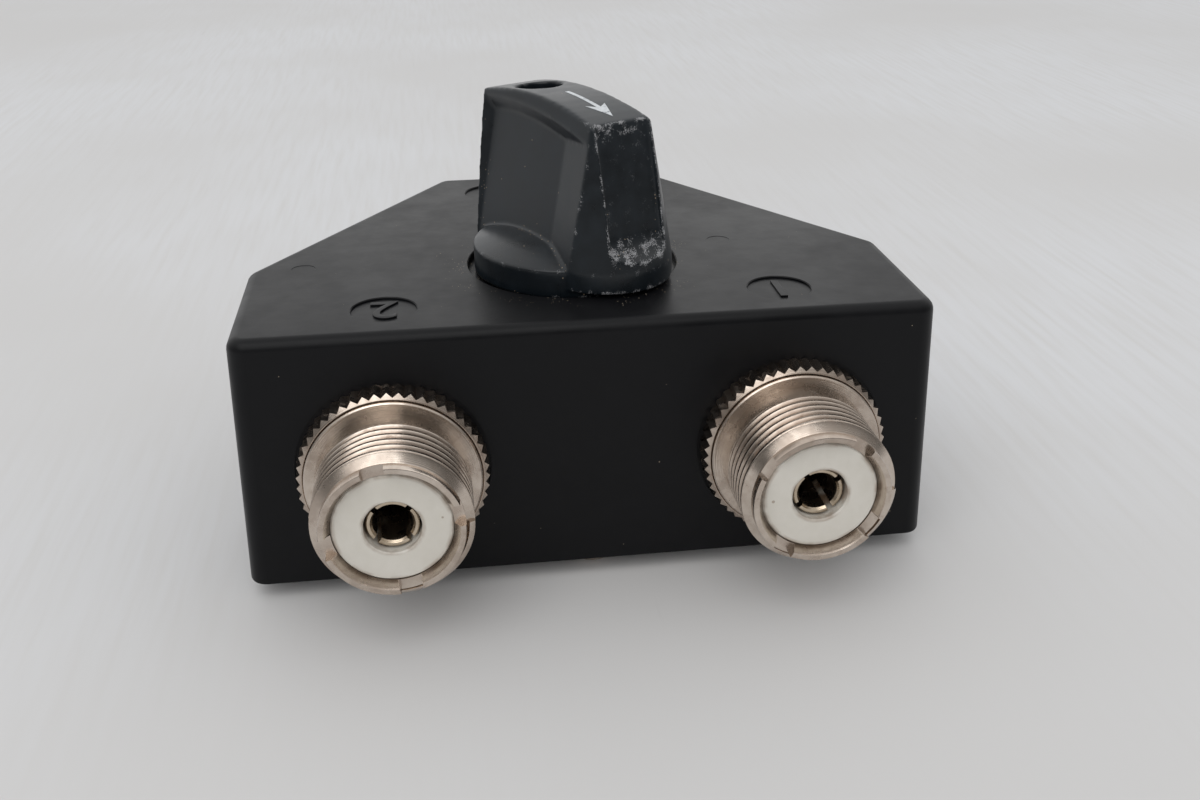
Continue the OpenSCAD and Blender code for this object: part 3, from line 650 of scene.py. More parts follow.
@dataclass(frozen=True)
class ScuffedPlastic(Finish):
    """Black moulded plastic with a slate tint, rubbed and scratched where edges stand out."""

    colour: Colour = (0.0036, 0.0052, 0.0068, 1)
    bloom: Colour = (0.0085, 0.0125, 0.0165, 1)
    scratch: Colour = (0.21, 0.21, 0.215, 1)
    dust: Colour = (0.22, 0.17, 0.12, 1)

    def surface(self, desk: NodeDesk, effects: SharedEffects, place) -> dict:
        """Uneven black, scratched where it is scuffed, with dust in its creases."""
        local = desk.attribute(LOCAL_PLACE).outputs["Vector"]
        scuff = desk.attribute(SCUFF).outputs["Fac"]
        crease = desk.attribute(SHADE_AND_GRIME).outputs["Fac"]
        uneven = desk.effect(effects.mottle, place, Scale=90.0)
        metres = desk.add("ShaderNodeVectorMath", {0: local, 3: MM}, operation="SCALE")
        lines = desk.stretched(metres.outputs[0], (1, 1, 1), 40)
        scratched = desk.effect(effects.scratches, lines, Scale=11000.0, Where=scuff)
        amount = desk.span(crease, 0.5, 0.006)
        specks = desk.effect(effects.specks, place, Scale=3600.0, Amount=amount)
        worn = desk.mix(scratched, desk.mix(uneven, self.colour, self.bloom), self.scratch)
        grain = desk.bump(desk.noise(place, 2400, 2), 0.1, 0.02)
        cuts = desk.bump(scratched, -0.4, 0.02, grain)
        return {
            "Base Color": desk.mix(specks, worn, self.dust),
            "Roughness": desk.span(scratched, 0.14, desk.span(uneven, 0.12, 0.26)),
            "Normal": desk.bump(specks, 0.5, 0.04, cuts),
            "Specular IOR Level": 0.4,
        }


@dataclass(frozen=True)
class WornPaint(Finish):
    """A thin print of pale paint, rubbed through in places."""

    colour: Colour = (0.62, 0.64, 0.65, 1)
    rubbed: Colour = (0.10, 0.11, 0.13, 1)

    def surface(self, desk: NodeDesk, effects: SharedEffects, place) -> dict:
        """Pale paint with gaps where it is rubbed through."""
        wear = desk.ramp(desk.noise(place, 1900, 4, 0.65), 0.58, 0.7)
        uneven = desk.effect(effects.mottle, place, Scale=600.0)
        shade = desk.mix(desk.math("MULTIPLY", uneven, 0.35), self.colour, self.rubbed)
        return {
            "Base Color": desk.mix(wear, shade, self.rubbed),
            "Roughness": desk.span(wear, -0.15, 0.55),
            "Normal": desk.bump(desk.noise(place, 3000, 2), 0.2, 0.02),
        }


@dataclass(frozen=True)
class InnerMetal(Finish):
    """Sheet or turned metal inside the box: brushed grain and uneven tarnish."""

    bright: Colour
    dull: Colour
    roughness: float = 0.26

    def surface(self, desk: NodeDesk, effects: SharedEffects, place) -> dict:
        """Uneven bare metal with a grain that runs along Y."""
        uneven = desk.effect(effects.mottle, place, Scale=170.0)
        grain = desk.noise(desk.stretched(place, (1, 0.08, 1)), 3200, 2)
        return {
            "Base Color": desk.mix(uneven, self.bright, self.dull),
            "Metallic": 1.0,
            "Roughness": desk.span(uneven, 0.16, self.roughness),
            "Normal": desk.bump(grain, 0.2, 0.02),
        }


@dataclass(frozen=True)
class PaintedBoard(Finish):
    """Pale painted board under the object: brush marks and hairline scratches."""

    colour: Colour = (0.62, 0.62, 0.625, 1)
    warm: Colour = (0.575, 0.565, 0.555, 1)
    mark: Colour = (0.30, 0.29, 0.28, 1)

    def surface(self, desk: NodeDesk, effects: SharedEffects, place) -> dict:
        """Brushed paint with slow changes of tone and patches of hairlines."""
        slow = desk.ramp(desk.noise(place, 7, 3), 0.35, 0.65)
        brushed = desk.noise(desk.stretched(place, (1, 0.06, 1), 25), 700, 4)
        hairs = desk.ramp(desk.noise(desk.stretched(place, (1, 0.02, 1), -35), 900, 2), 0.7, 0.78)
        patches = desk.ramp(desk.noise(place, 26, 3), 0.56, 0.66)
        scratched = desk.math("MULTIPLY", desk.math("MULTIPLY", hairs, patches), 0.3)
        tone = desk.mix(slow, self.colour, self.warm)
        streaked = desk.mix(desk.ramp(brushed, 0.3, 0.9), tone, self.warm)
        return {
            "Base Color": desk.mix(scratched, streaked, self.mark),
            "Roughness": 0.6,
            "Specular IOR Level": 0.12,
            "Normal": desk.bump(brushed, 0.12, 0.08),
        }


@dataclass
class Finishes:
    """Every material of the scene, each built once from the shared effects."""

    effects: SharedEffects

    def __post_init__(self) -> None:
        """Builds the materials."""
        make = self.effects
        self.casting = BlackEnamel("casting_enamel").make(make)
        self.cover = BlackEnamel("cover_enamel", low_roughness=0.4, high_roughness=0.55).make(make)
        self.nickel = WornNickel("worn_nickel").make(make)
        # Its nearly black stain colour is mostly painted shade inside the bore, and it also colours
        # the contact's stain patches.
        self.contact = WornNickel(
            "plated_contact", bright=(0.66, 0.56, 0.44, 1), dull=(0.36, 0.28, 0.19, 1),
            stain_and_shade=(0.02, 0.014, 0.009, 1),
        ).make(make)
        self.insulator = MouldedPlastic(
            "insulator_plastic", colour=(0.60, 0.57, 0.515, 1), shade=(0.55, 0.52, 0.46, 1),
            stain_and_shade=(0.20, 0.13, 0.08, 1),
        ).make(make)
        self.hub = MouldedPlastic(
            "hub_plastic", colour=(0.60, 0.57, 0.48, 1), shade=(0.50, 0.46, 0.37, 1)
        ).make(make)
        self.knob = ScuffedPlastic("scuffed_plastic").make(make)
        self.arrow = WornPaint("arrow_paint").make(make)
        self.strip = InnerMetal(
            "strip_metal", bright=(0.80, 0.62, 0.33, 1), dull=(0.55, 0.38, 0.17, 1)
        ).make(make)
        self.steel = InnerMetal(
            "plain_steel", bright=(0.60, 0.60, 0.61, 1), dull=(0.40, 0.40, 0.41, 1)
        ).make(make)
        self.board = PaintedBoard("painted_board").make(make)


# ---------- The object ----------


@dataclass
class HousingCasting:
    """The die-cast box: sloping walls, round corners, sunk numbers and the knob's recess."""

    finishes: Finishes
    back_width: float = 29.6
    side_depth: float = 21.6
    draft: float = 1.8
    wall: float = 3.2
    roof: float = 3.0
    corner_radius: float = 2.0
    roof_edge: float = 1.25
    foot_edge: float = 0.25
    cover_recess: float = 1.6
    cover_rim: float = 1.4
    cover_seat_radius: float = 1.2
    knob_radius: float = 11.95
    knob_depth: float = 0.8
    knob_edge: float = 0.12
    bushing_hole: float = 4.75
    port_hole: float = 9.2
    port_spot: float = 10.15
    mark_radius: float = 3.45
    mark_depth: float = 0.25
    mark_edge: float = 0.1
    mark_from_front: float = 7.7
    back_mark: tuple[float, float] = (-7.8, 19.7)
    digit_height: float = 4.6
    digit_text_share: float = 1.4
    digit_bevel: float = 0.05
    digit_swell: float = 0.02
    ejector_spots: tuple[tuple[float, float], ...] = ((18.1, -4.0), (-30.5, -7.0))
    ejector_radius: float = 1.35
    ejector_depth: float = 0.035
    ejector_edge: float = 0.03

    def __post_init__(self) -> None:
        """Reads the box, the sockets' places and the knob's axis from the frame."""
        low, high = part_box("housing")
        self.low, self.high = low / MM, high / MM
        self.width = self.high.x - self.low.x
        self.height = self.high.z - self.low.z
        self.port = middle_of("port_1_shell")
        self.axis = middle_of("shaft_bushing")
        side_run = self.high.y - self.low.y - self.side_depth
        self.side_turn = math.atan2((self.width - self.back_width) / 2, side_run)
        mark_y = self.low.y + self.mark_from_front
        self.marks = {
            "2": (-self.port.x, mark_y), "1": (self.port.x, mark_y), "0": self.back_mark,
        }

    def corners(self, inset: float) -> list[tuple[float, float]]:
        """The plan's six corners, moved in by an inset, in order round the box."""
        half, back = self.width / 2 - inset, self.high.y - inset
        reach = math.cos(self.side_turn) * self.width / 2
        reach += math.sin(self.side_turn) * (self.low.y + self.side_depth) - inset
        side_y = (reach - math.cos(self.side_turn) * half) / math.sin(self.side_turn)
        back_x = (reach - math.sin(self.side_turn) * back) / math.cos(self.side_turn)
        right = [(half, self.low.y + inset), (half, side_y), (back_x, back)]
        return right + [(-x, y) for x, y in reversed(right)]

    def block(self, name: str, bottom: float, top: float, z_low: float, z_high: float):
        """A six-sided block.

        Args:
            name: the new object's name.
            bottom: inset of its bottom corners from the box's outline.
            top: inset of its top corners.
            z_low: height of its bottom.
            z_high: height of its top.

        Returns:
            The new object.
        """
        clear_bench()
        bpy.ops.mesh.primitive_cylinder_add(
            vertices=6, radius=10 * MM, depth=(z_high - z_low) * MM,
            location=(0, 0, (z_low + z_high) / 2 * MM),
        )
        obj = settle(named(name))

        def by_angle(place: Sequence[float]) -> float:
            """The direction of a place, seen from the middle of the box."""
            return math.atan2(place[1], place[0])

        for height, inset in ((z_low, bottom), (z_high, top)):
            goals = sorted(self.corners(inset), key=by_angle)
            ring = [v.co / MM for v in obj.data.vertices if abs(v.co.z / MM - height) < NEAR]
            for here, goal in zip(sorted(ring, key=by_angle), goals):
                step = Vector((goal[0], goal[1], height)) - here
                move_corners(obj, lambda ends: (ends[0] - here).length < NEAR, step)
        return obj

    def round_upright_corners(self, obj: bpy.types.Object, radius: float) -> None:
        """Rounds the six upright edges to one radius, whatever angle they turn by."""
        turns = (90.0, math.degrees(self.side_turn), 90 - math.degrees(self.side_turn))
        outer = self.corners(0)
        for kind, degrees in enumerate(turns):
            spots = [Vector(outer[kind]), Vector(outer[5 - kind])]

            def at_corner(ends: list[Vector]) -> bool:
                """True for an upright edge at this kind of corner."""
                middle = (ends[0] + ends[1]) / 2
                upright = abs(ends[0].z - ends[1].z) > 1
                return upright and min((middle.xy - s).length for s in spots) < 6

            bevel_edges(obj, at_corner, radius * math.tan(math.radians(degrees) / 2), 8)

    def outside(self) -> bpy.types.Object:
        """The casting's outside, with round corners and a round roof edge."""
        lean = self.height * math.tan(math.radians(self.draft))
        obj = self.block("casting", 0, lean, self.low.z, self.high.z)
        self.round_upright_corners(obj, self.corner_radius)
        top, floor = self.high.z - NEAR, self.low.z + NEAR
        bevel_edges(obj, lambda ends: min(e.z for e in ends) > top, self.roof_edge, 6)
        bevel_edges(obj, lambda ends: max(e.z for e in ends) < floor, self.foot_edge, 2)
        return obj

    def hollow(self, obj: bpy.types.Object) -> None:
        """Takes the inside out of the casting, with the seat of the bottom cover."""
        ceiling = self.high.z - self.roof
        seat_top = self.low.z + self.cover_recess
        for name, inset, top, radius in (
            ("cavity", self.wall, ceiling, self.corner_radius),
            ("cover_seat", self.cover_rim, seat_top, self.cover_seat_radius),
        ):
            cutter = self.block(name, inset, inset, self.low.z - 1, top)
            self.round_upright_corners(cutter, radius)
            combine(obj, cutter, Cut.TAKE_AWAY)

    def cut_ports(self, obj: bpy.types.Object) -> None:
        """Cuts the three holes for the sockets, each with the seat of its ring nut."""
        hole, spot = self.port_hole, self.port_spot
        seat_low = -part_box("port_1_ring_nut")[1].y / MM
        inside = seat_low - 4
        for x, side in ((self.port.x, -1), (-self.port.x, -1), (0, 1)):
            outline = [(0, inside), (hole, inside), (hole, seat_low), (spot, seat_low),
                       (spot, seat_low + 3), (0, seat_low + 3)]
            cutter = turned("port_hole", outline, closed=False)
            facing = turn(180) if side > 0 else Matrix.Identity(4)
            moved(cutter, shift(x, 0, self.port.z) @ facing @ turn(90, "X"))
            combine(obj, cutter, Cut.TAKE_AWAY)

    def cut_roof(self, obj: bpy.types.Object) -> None:
        """Sinks the knob's recess, the number recesses and the faint ejector marks."""
        top = self.high.z
        knob_spot = (self.axis.x, self.axis.y)
        sinks = [(knob_spot, self.knob_radius, self.knob_depth, self.knob_edge)]
        for spot in self.marks.values():
            sinks.append((spot, self.mark_radius, self.mark_depth, self.mark_edge))
        for spot in self.ejector_spots:
            sinks.append((spot, self.ejector_radius, self.ejector_depth, self.ejector_edge))
        for (x, y), radius, depth, edge in sinks:
            outline = [(0, top - depth), (radius, top - depth), (radius, top - edge),
                       (radius + edge, top + 0.001), (radius + edge, top + 1), (0, top + 1)]
            cutter = turned("roof_sink", outline, closed=False)
            combine(obj, moved(cutter, shift(x, y, 0)), Cut.TAKE_AWAY)
        bore = disc("bushing_hole", self.bushing_hole, top - 5, top + 1)
        combine(obj, moved(bore, shift(self.axis.x, self.axis.y, 0)), Cut.TAKE_AWAY)

    def digit(self, text: str, x: float, y: float) -> bpy.types.Object:
        """One raised digit that stands in its recess, upright as seen from the back."""
        clear_bench()
        bpy.ops.object.text_add()
        curve = bpy.context.object
        curve.name = f"digit_{text}"
        curve.data.body = text
        curve.data.align_x = "CENTER"
        curve.data.align_y = "CENTER"
        curve.data.size = self.digit_height * self.digit_text_share * MM
        curve.data.extrude = self.mark_depth / 2 * MM
        curve.data.bevel_depth = self.digit_bevel * MM
        curve.data.offset = self.digit_swell * MM
        bpy.ops.object.convert(target="MESH")
        obj = pick(bpy.context.object)
        places = np.array([v.co for v in obj.data.vertices])
        middle = (places.min(0) + places.max(0)) / 2 / MM
        lift = shift(x, y, self.high.z - self.mark_depth + 0.02)
        moved(obj, lift @ turn(180) @ shift(-middle[0], -middle[1], 0))
        return tidy_mesh(obj)

    def build(self) -> bpy.types.Object:
        """Builds the casting with its raised digits."""
        obj = self.outside()
        self.hollow(obj)
        self.cut_ports(obj)
        self.cut_roof(obj)
        digits = [self.digit(text, *self.marks[text]) for text in "120"]
        pick(obj)
        for piece in digits:
            piece.select_set(True)
        bpy.ops.object.join()
        obj.name = "housing_casting"
        smooth_shaded(obj)
        dress(obj, self.finishes.casting)
        return seat(obj, Body.HOUSING, Slot.CASTING, "housing")


@dataclass
class CoaxSocket:
    """One threaded socket, made on its own axis with Z outwards from the seat of its nut."""

    finishes: Finishes
    name: str
    notch_turn: float
    slot_turn: float
    thread_radius: float = 7.94
    root_radius: float = 7.5
    pitch: float = 1.058
    thread_start: float = 5.3
    thread_end: float = 11.5
    shoulder_radius: float = 9.1
    shoulder_height: float = 3.35
    shoulder_edge: float = 0.14
    flange_radius: float = 10.3
    flange_thickness: float = 1.8
    rim_radius: float = 7.08
    rim_length: float = 1.15
    chamfer: float = 0.55
    mouth_radius: float = 5.94
    mouth_flare: float = 0.55
    seat_width: float = 1.06
    seat_height: float = -1.0
    face_depth: float = 1.0
    notch_width: float = 2.3
    notch_depth: float = 1.0
    nut_radius: float = 9.87
    nut_thickness: float = 3.0
    nut_teeth: int = 51
    tooth_depth: float = 0.42
    nut_bevel: float = 0.55
    nut_back_bevel: float = 0.3
    insulator_end: float = -7.3
    tube_end: float = -6.5
    tail_hole: float = 1.3
    tail_radius: float = 1.25
    tail_end: float = -12.5
    contact_radius: float = 2.6
    contact_bore: float = 2.0
    contact_depth: float = 9.0
    contact_back: float = 0.8
    contact_slot: float = 0.6
    slot_length: float = 5.0

    def __post_init__(self) -> None:
        """Reads the socket's place and length from the frame."""
        nut_low, nut_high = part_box(f"{self.name}_ring_nut")
        shell_low, shell_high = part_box(f"{self.name}_shell")
        self.front_facing = nut_low.y < 0
        centre = (nut_low + nut_high) / 2 / MM
        self.x, self.z = centre.x, centre.z
        near, far = (nut_high.y, shell_low.y) if self.front_facing else (nut_low.y, shell_high.y)
        self.seat_y = near / MM
        self.front = abs(far - near) / MM
        self.back = -(shell_high.y - shell_low.y) / MM + self.front

    def placed(self, obj: bpy.types.Object) -> bpy.types.Object:
        """Moves a piece from the bench to the socket's axis in the frame."""
        store_local_place(obj)
        facing = Matrix.Identity(4) if self.front_facing else turn(180)
        return moved(obj, shift(self.x, self.seat_y, self.z) @ facing @ turn(90, "X"))

    def thread_ridge(self) -> bpy.types.Object:
        """The coupling thread: a worn V ridge wound round the barrel by the Screw modifier."""
        inner, outer = self.root_radius - 0.12, self.thread_radius
        foot, crest = 0.43 * self.pitch, 0.2 * self.pitch
        outline = [(inner, -foot - 0.06), (self.root_radius, -foot), (outer - 0.05, -crest),
                   (outer, -crest + 0.07), (outer, crest - 0.07), (outer - 0.05, crest),
                   (self.root_radius, foot), (inner, foot + 0.06)]
        obj = wire("thread_ridge", outline + outline[:1])
        bpy.ops.mesh.remove_doubles(threshold=DOUBLES_APART * MM)
        bpy.ops.object.mode_set(mode="OBJECT")
        modified(
            obj, "SCREW", axis="Z", angle=math.tau, screw_offset=self.pitch * MM,
            iterations=round((self.thread_end - self.thread_start) / self.pitch),
            steps=TURNED_STEPS, render_steps=TURNED_STEPS,
        )
        bpy.ops.object.mode_set(mode="EDIT")
        bpy.ops.mesh.select_mode(type="EDGE")
        bpy.ops.mesh.select_all(action="DESELECT")
        bpy.ops.mesh.select_non_manifold(extend=False)
        bpy.ops.mesh.edge_face_add()
        bpy.ops.object.mode_set(mode="OBJECT")
        moved(obj, shift(0, 0, self.thread_start))
        return tidy_mesh(obj)

    def shell(self) -> bpy.types.Object:
        """Barrel with its shoulder, root cylinder, chamfer and notched rim."""
        front, rim_back = self.front, self.front - self.rim_length
        back, panel = self.back, self.back + self.flange_thickness
        face, seat_z = front - self.face_depth, self.seat_height
        thread, root, rim, mouth = (
            self.thread_radius, self.root_radius, self.rim_radius, self.mouth_radius
        )
        shoulder, step, edge = self.shoulder_radius, self.shoulder_height, self.shoulder_edge
        crest_end = rim_back - self.chamfer
        seat_radius = mouth - self.seat_width
        outline = [
            (seat_radius, back), (self.flange_radius, back), (self.flange_radius, panel),
            (shoulder, panel), (shoulder, step - edge), (shoulder - edge, step),
            (thread, step), (thread, self.thread_start + 0.2), (root, self.thread_start + 0.6),
            (root, crest_end - 0.25), (thread, crest_end - 0.05), (thread, crest_end),
            (rim + 0.06, rim_back - 0.03), (rim, rim_back + 0.04), (rim, front - 0.14),
            (rim - 0.05, front - 0.04), (rim - 0.16, front),
            (mouth + self.mouth_flare, front - 0.05),
            (mouth, face), (mouth, seat_z), (seat_radius, seat_z),
        ]
        obj = turned("shell", outline, steps=FINE_STEPS)
        height = self.notch_depth + 1
        middle = front - self.notch_depth + height / 2
        cross_cut(obj, Vector((20, self.notch_width, height)), middle, self.notch_turn)
        ridge = self.thread_ridge()
        pick(obj)
        ridge.select_set(True)
        bpy.ops.object.join()
        radius, along = radius_and_height(obj)
        in_thread = (along > self.thread_start + 0.3) & (along < crest_end)
        depth = np.clip((thread - radius) / (thread - root), 0, 1)
        behind_rim = (radius < mouth + 0.3) & (along > face - 0.3)
        # Painted shade: thread roots darker by their depth, and the mouth's inner wall a little
        # darker.
        store_values(obj, SHADE_AND_GRIME, np.where(in_thread, depth, np.where(behind_rim, 0.2, 0.0)))
        return obj

    def ring_nut(self) -> bpy.types.Object:
        """Ring nut: every second corner of its rim is drawn in to make the V teeth."""
        clear_bench()
        count = 2 * self.nut_teeth
        bpy.ops.mesh.primitive_cylinder_add(
            vertices=count, radius=self.nut_radius * MM, depth=self.nut_thickness * MM,
            location=(0, 0, self.nut_thickness / 2 * MM),
        )
        obj = settle(named("ring_nut"))
        spacing = math.tau / count

        def odd(ends: list[Vector]) -> bool:
            """True for every second corner round the rim."""
            return round(math.atan2(ends[0].x, ends[0].y) / spacing) % 2 == 1

        select_where(obj, "VERT", odd)
        share = 1 - self.tooth_depth / self.nut_radius
        bpy.ops.transform.resize(value=(share, share, 1), center_override=(0, 0, 0))
        bpy.ops.object.mode_set(mode="OBJECT")
        top, reach = self.nut_thickness, self.nut_radius + 1
        back, edge = self.nut_radius - self.nut_back_bevel, self.nut_radius - self.nut_bevel
        bevelled = turned("nut_bevel", [
            (0, -1), (back, -1), (back, 0), (reach, 1.1), (reach, top - 1.2), (edge, top), (0, top),
        ], closed=False, steps=FINE_STEPS)
        combine(obj, bevelled, Cut.KEEP_COMMON)
        bore = self.shoulder_radius + 0.05
        hole = turned("nut_hole", [
            (0, -1), (bore, -1), (bore, top - 0.1), (bore + 0.2, top + 0.1), (0, top + 0.1),
        ], closed=False)
        combine(obj, hole, Cut.TAKE_AWAY)
        # Painted shade in the valleys between the teeth and in the bore.
        radius, _ = radius_and_height(obj)
        valley = np.clip((self.nut_radius - radius) / self.tooth_depth, 0, 1)
        store_values(obj, SHADE_AND_GRIME, np.where(radius > self.shoulder_radius + 0.3, valley * 0.35, 0.2))
        return obj

    def insulator(self) -> bpy.types.Object:
        """White insulator with a soft front edge and a chamfered hole."""
        face = self.front - self.face_depth
        hole = self.contact_radius + 0.25
        edge = self.mouth_radius - 0.04
        neck = self.mouth_radius - 1.1
        end, seat_z, floor = self.insulator_end, self.seat_height, self.tube_end
        outline = [(self.tail_hole, end), (neck, end), (neck, seat_z), (edge, seat_z),
                   (edge, face - 0.16), (edge - 0.16, face), (edge - 0.5, face),
                   (hole + 0.4, face), (hole + 0.14, face), (hole, face - 0.14),
                   (hole, floor), (self.tail_hole, floor)]
        obj = turned("insulator", outline)
        # Painted shade deep in the contact's hole, and a darker noisy band along both edges.
        radius, along = radius_and_height(obj)
        near_edge = (radius > edge - 0.25) | (radius < hole + 0.2)
        inside = (radius < hole + NEAR) & (along < face - 1)
        store_values(obj, SHADE_AND_GRIME, np.where(inside, 3.0, np.where(near_edge, 0.6, 0.0)))
        return obj

    def contact(self) -> bpy.types.Object:
        """Slotted tube with a countersunk mouth, and its solder tail."""
        front = self.front - self.face_depth - self.contact_back
        outer, bore = self.contact_radius, self.contact_bore
        tail, end, floor = self.tail_radius, self.tail_end, self.tube_end
        bottom = front - self.contact_depth
        outline = [(0, end), (tail - 0.2, end), (tail, end + 0.2), (tail, floor), (outer, floor),
                   (outer, front - 0.12), (outer - 0.12, front), (bore + 0.2, front),
                   (bore, front - 0.25), (bore, bottom), (0, bottom - 0.6)]
        obj = turned("contact", outline, closed=False)
        middle = front - self.slot_length + 3
        cross_cut(obj, Vector((8, self.contact_slot, 6)), middle, self.slot_turn)
        # Painted shade inside the bore.
        radius, along = radius_and_height(obj)
        inside = np.clip((bore + 0.1 - radius) / 0.1, 0, 1) * (along < front - 0.4)
        store_values(obj, SHADE_AND_GRIME, inside)
        return obj

    def build(self) -> None:
        """Builds the socket's four pieces and puts them in place."""
        pieces = (
            (self.shell(), "shell", self.finishes.nickel, Slot.NICKEL),
            (self.ring_nut(), "ring_nut", self.finishes.nickel, Slot.NICKEL),
            (self.insulator(), "insulator", self.finishes.insulator, Slot.INSULATOR),
            (self.contact(), "contact", self.finishes.contact, Slot.CONTACT),
        )
        for obj, part, material, slot in pieces:
            self.placed(obj)
            smooth_shaded(obj)
            dress(obj, material)
            obj.name = f"{self.name}_socket_{part}"
            seat(obj, Body.HOUSING, slot, f"{self.name}_{part}")
@dataclass
class PointerKnob:
    """The bar knob, made on its own axis with X along the pointer, then worn and turned."""

    finishes: Finishes
    pointer_turn: float = -62.0
    base_radius: float = 11.2
    rim_height: float = 2.6
    foot_gap: float = 0.5
    bar_top_width: float = 7.0
    bar_base_width: float = 13.8
    nose_reach: float = 14.0
    nose_radius: float = 7.2
    nose_lean: float = 2.8
    tail_reach: float = 13.2
    tail_radius: float = 9.2
    tail_lean: float = 0.5
    arch_radius: float = 45.0
    arch_back: float = 2.0
    dome_radius: float = 28.0
    scoop_depth: float = 1.2
    scoop_front: float = 4.0
    scoop_front_flare: float = 6.4
    scoop_rear: float = -10.6
    scoop_rear_flare: float = 1.3
    scoop_arch_radius: float = 34.0
    scoop_arch_back: float = 6.0
    scoop_below_top: float = 3.8
    scoop_top_start: float = 2.7
    scoop_top_flare: float = 2.5
    channel_half_width: float = 3.5
    channel_top: float = 9.0
    channel_foot: float = 11.7
    channel_floor: float = 0.75
    cove_radius: float = 3.0
    hole_radius: float = 2.65
    hole_back: float = 6.0
    hole_depth: float = 8.5
    well_radius: float = 7.0
    well_height: float = 3.4
    bore_radius: float = 3.225
    bore_depth: float = 9.8
    screw_radius: float = 1.55
    screw_height: float = 7.0
    grain_size: float = 0.16
    worn_rounds: int = 9
    arrow_span: tuple[float, float, float] = (-0.4, 5.5, 8.0)
    arrow_half_widths: tuple[float, float] = (0.25, 1.25)
    barb_back: float = 0.7

    def __post_init__(self) -> None:
        """Reads the knob's axis and heights from the frame."""
        low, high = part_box("knob")
        axis = middle_of("shaft_bushing")
        self.on_axis = shift(axis.x, axis.y, 0) @ turn(self.pointer_turn)
        self.low, self.top = low.z / MM, high.z / MM - 0.04
        self.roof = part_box("housing")[1].z / MM
        self.rim = self.roof + self.rim_height
        self.foot = self.roof + self.foot_gap
        self.ceiling = self.top + 1
        lean_run = (self.bar_base_width - self.bar_top_width) / 2
        self.lean = math.degrees(math.atan2(lean_run, self.top - self.rim))

    def rise(self, z: float) -> float:
        """A height as a share of the way from the rim to the top."""
        return (z - self.rim) / (self.top - self.rim)

    def half_width(self, z: float) -> float:
        """Half the bar's width at a height."""
        change = self.bar_top_width - self.bar_base_width
        return (self.bar_base_width + change * self.rise(z)) / 2

    def drum(self, name: str, radius: float, back: float, top: float) -> bpy.types.Object:
        """A drum that lies across the pointer.

        Args:
            name: the new object's name.
            radius: its radius.
            back: how far its axis lies behind the knob's.
            top: height of its highest line.

        Returns:
            The new object.
        """
        obj = disc(name, radius, -40, 40, steps=180)
        return moved(obj, shift(-back, 0, top - radius) @ turn(90, "X"))

    def end_post(self, reach: float, radius: float, lean: float) -> bpy.types.Object:
        """A round post at one end of the bar, straight below the rim and leaning above it."""
        top_radius = radius - lean * self.rise(self.ceiling)
        outline = [(0, self.foot), (radius, self.foot), (radius, self.rim),
                   (top_radius, self.ceiling), (0, self.ceiling)]
        obj = turned("bar_end", outline, closed=False, steps=128)
        return moved(obj, shift(reach - radius, 0, 0))

    def leaning_sides(self) -> bpy.types.Object:
        """A long bar whose two sides lean in towards the top."""
        low, high = self.foot - 1, self.ceiling + 1
        obj = box_bar("bar_sides", Vector((60, 2, high - low)), Vector((0, 0, (low + high) / 2)))
        for z in (low, high):
            share = self.half_width(z)
            select_where(obj, "VERT", lambda ends: abs(ends[0].z - z) < NEAR)
            bpy.ops.transform.resize(value=(1, share, 1), center_override=(0, 0, z * MM))
            bpy.ops.object.mode_set(mode="OBJECT")
        return obj

    def scoop(self, side: int) -> bpy.types.Object:
        """The cutter of one finger scoop: a leaning panel that flares to both ends and the top.

        Args:
            side: 1 for the left of the pointer, -1 for its right.

        Returns:
            The cutter.
        """
        edge = self.bar_base_width / 2
        panel, out = edge - self.scoop_depth, 0.4
        rise = 1 + out / self.scoop_depth
        goals = {
            (-1, -1): (self.scoop_rear, panel),
            (1, -1): (self.scoop_front, panel),
            (1, 1): (self.scoop_front + self.scoop_front_flare * rise, edge + out),
            (-1, 1): (self.scoop_rear - self.scoop_rear_flare * rise, edge + out),
        }
        obj = box_bar("scoop", Vector((2, 2, 27)), Vector((0, 0, 8.5)))
        for (x, y), (goal_x, goal_y) in goals.items():
            corner = Vector((x, y))
            step = Vector((goal_x - x, goal_y - y, 0))
            move_corners(obj, lambda ends: (ends[0].xy - corner).length < NEAR, step)
        moved(obj, shift(0, 0, self.rim) @ turn(self.lean, "X"))
        low = self.scoop_arch_radius
        bowl = turned("scoop_bowl", [(0, 0), (low, 0), (low + 10 * self.scoop_top_flare, 10),
                                     (0, 10)], closed=False, steps=180)
        centre = self.top - self.scoop_below_top - low
        moved(bowl, shift(-self.scoop_arch_back, self.scoop_top_start, centre) @ turn(-90, "X"))
        combine(obj, bowl, Cut.KEEP_COMMON)
        if side < 0:
            pick(obj)
            bpy.ops.transform.mirror(constraint_axis=(False, True, False))
            settle(obj)
            tidy_mesh(obj)
        return obj

    def bar(self) -> bpy.types.Object:
        """The grip bar with its scoops and the channel at the pointer end."""
        obj = self.end_post(self.nose_reach, self.nose_radius, self.nose_lean)
        tail = self.end_post(self.tail_reach, self.tail_radius, self.tail_lean)
        combine(obj, moved(tail, turn(180)), Cut.JOIN)
        start = self.tail_radius - self.tail_reach
        length = self.nose_reach - self.nose_radius - start
        middle = box_bar(
            "bar_middle", Vector((length, 2 * self.base_radius, self.ceiling - self.foot)),
            Vector((start + length / 2, 0, (self.ceiling + self.foot) / 2)),
        )
        combine(obj, middle, Cut.JOIN)
        combine(obj, self.leaning_sides(), Cut.KEEP_COMMON)
        arch = self.drum("bar_arch", self.arch_radius, self.arch_back, self.top)
        combine(obj, arch, Cut.KEEP_COMMON)
        for side in (1, -1):
            combine(obj, self.scoop(side), Cut.TAKE_AWAY)
        return combine(obj, self.channel(), Cut.TAKE_AWAY)

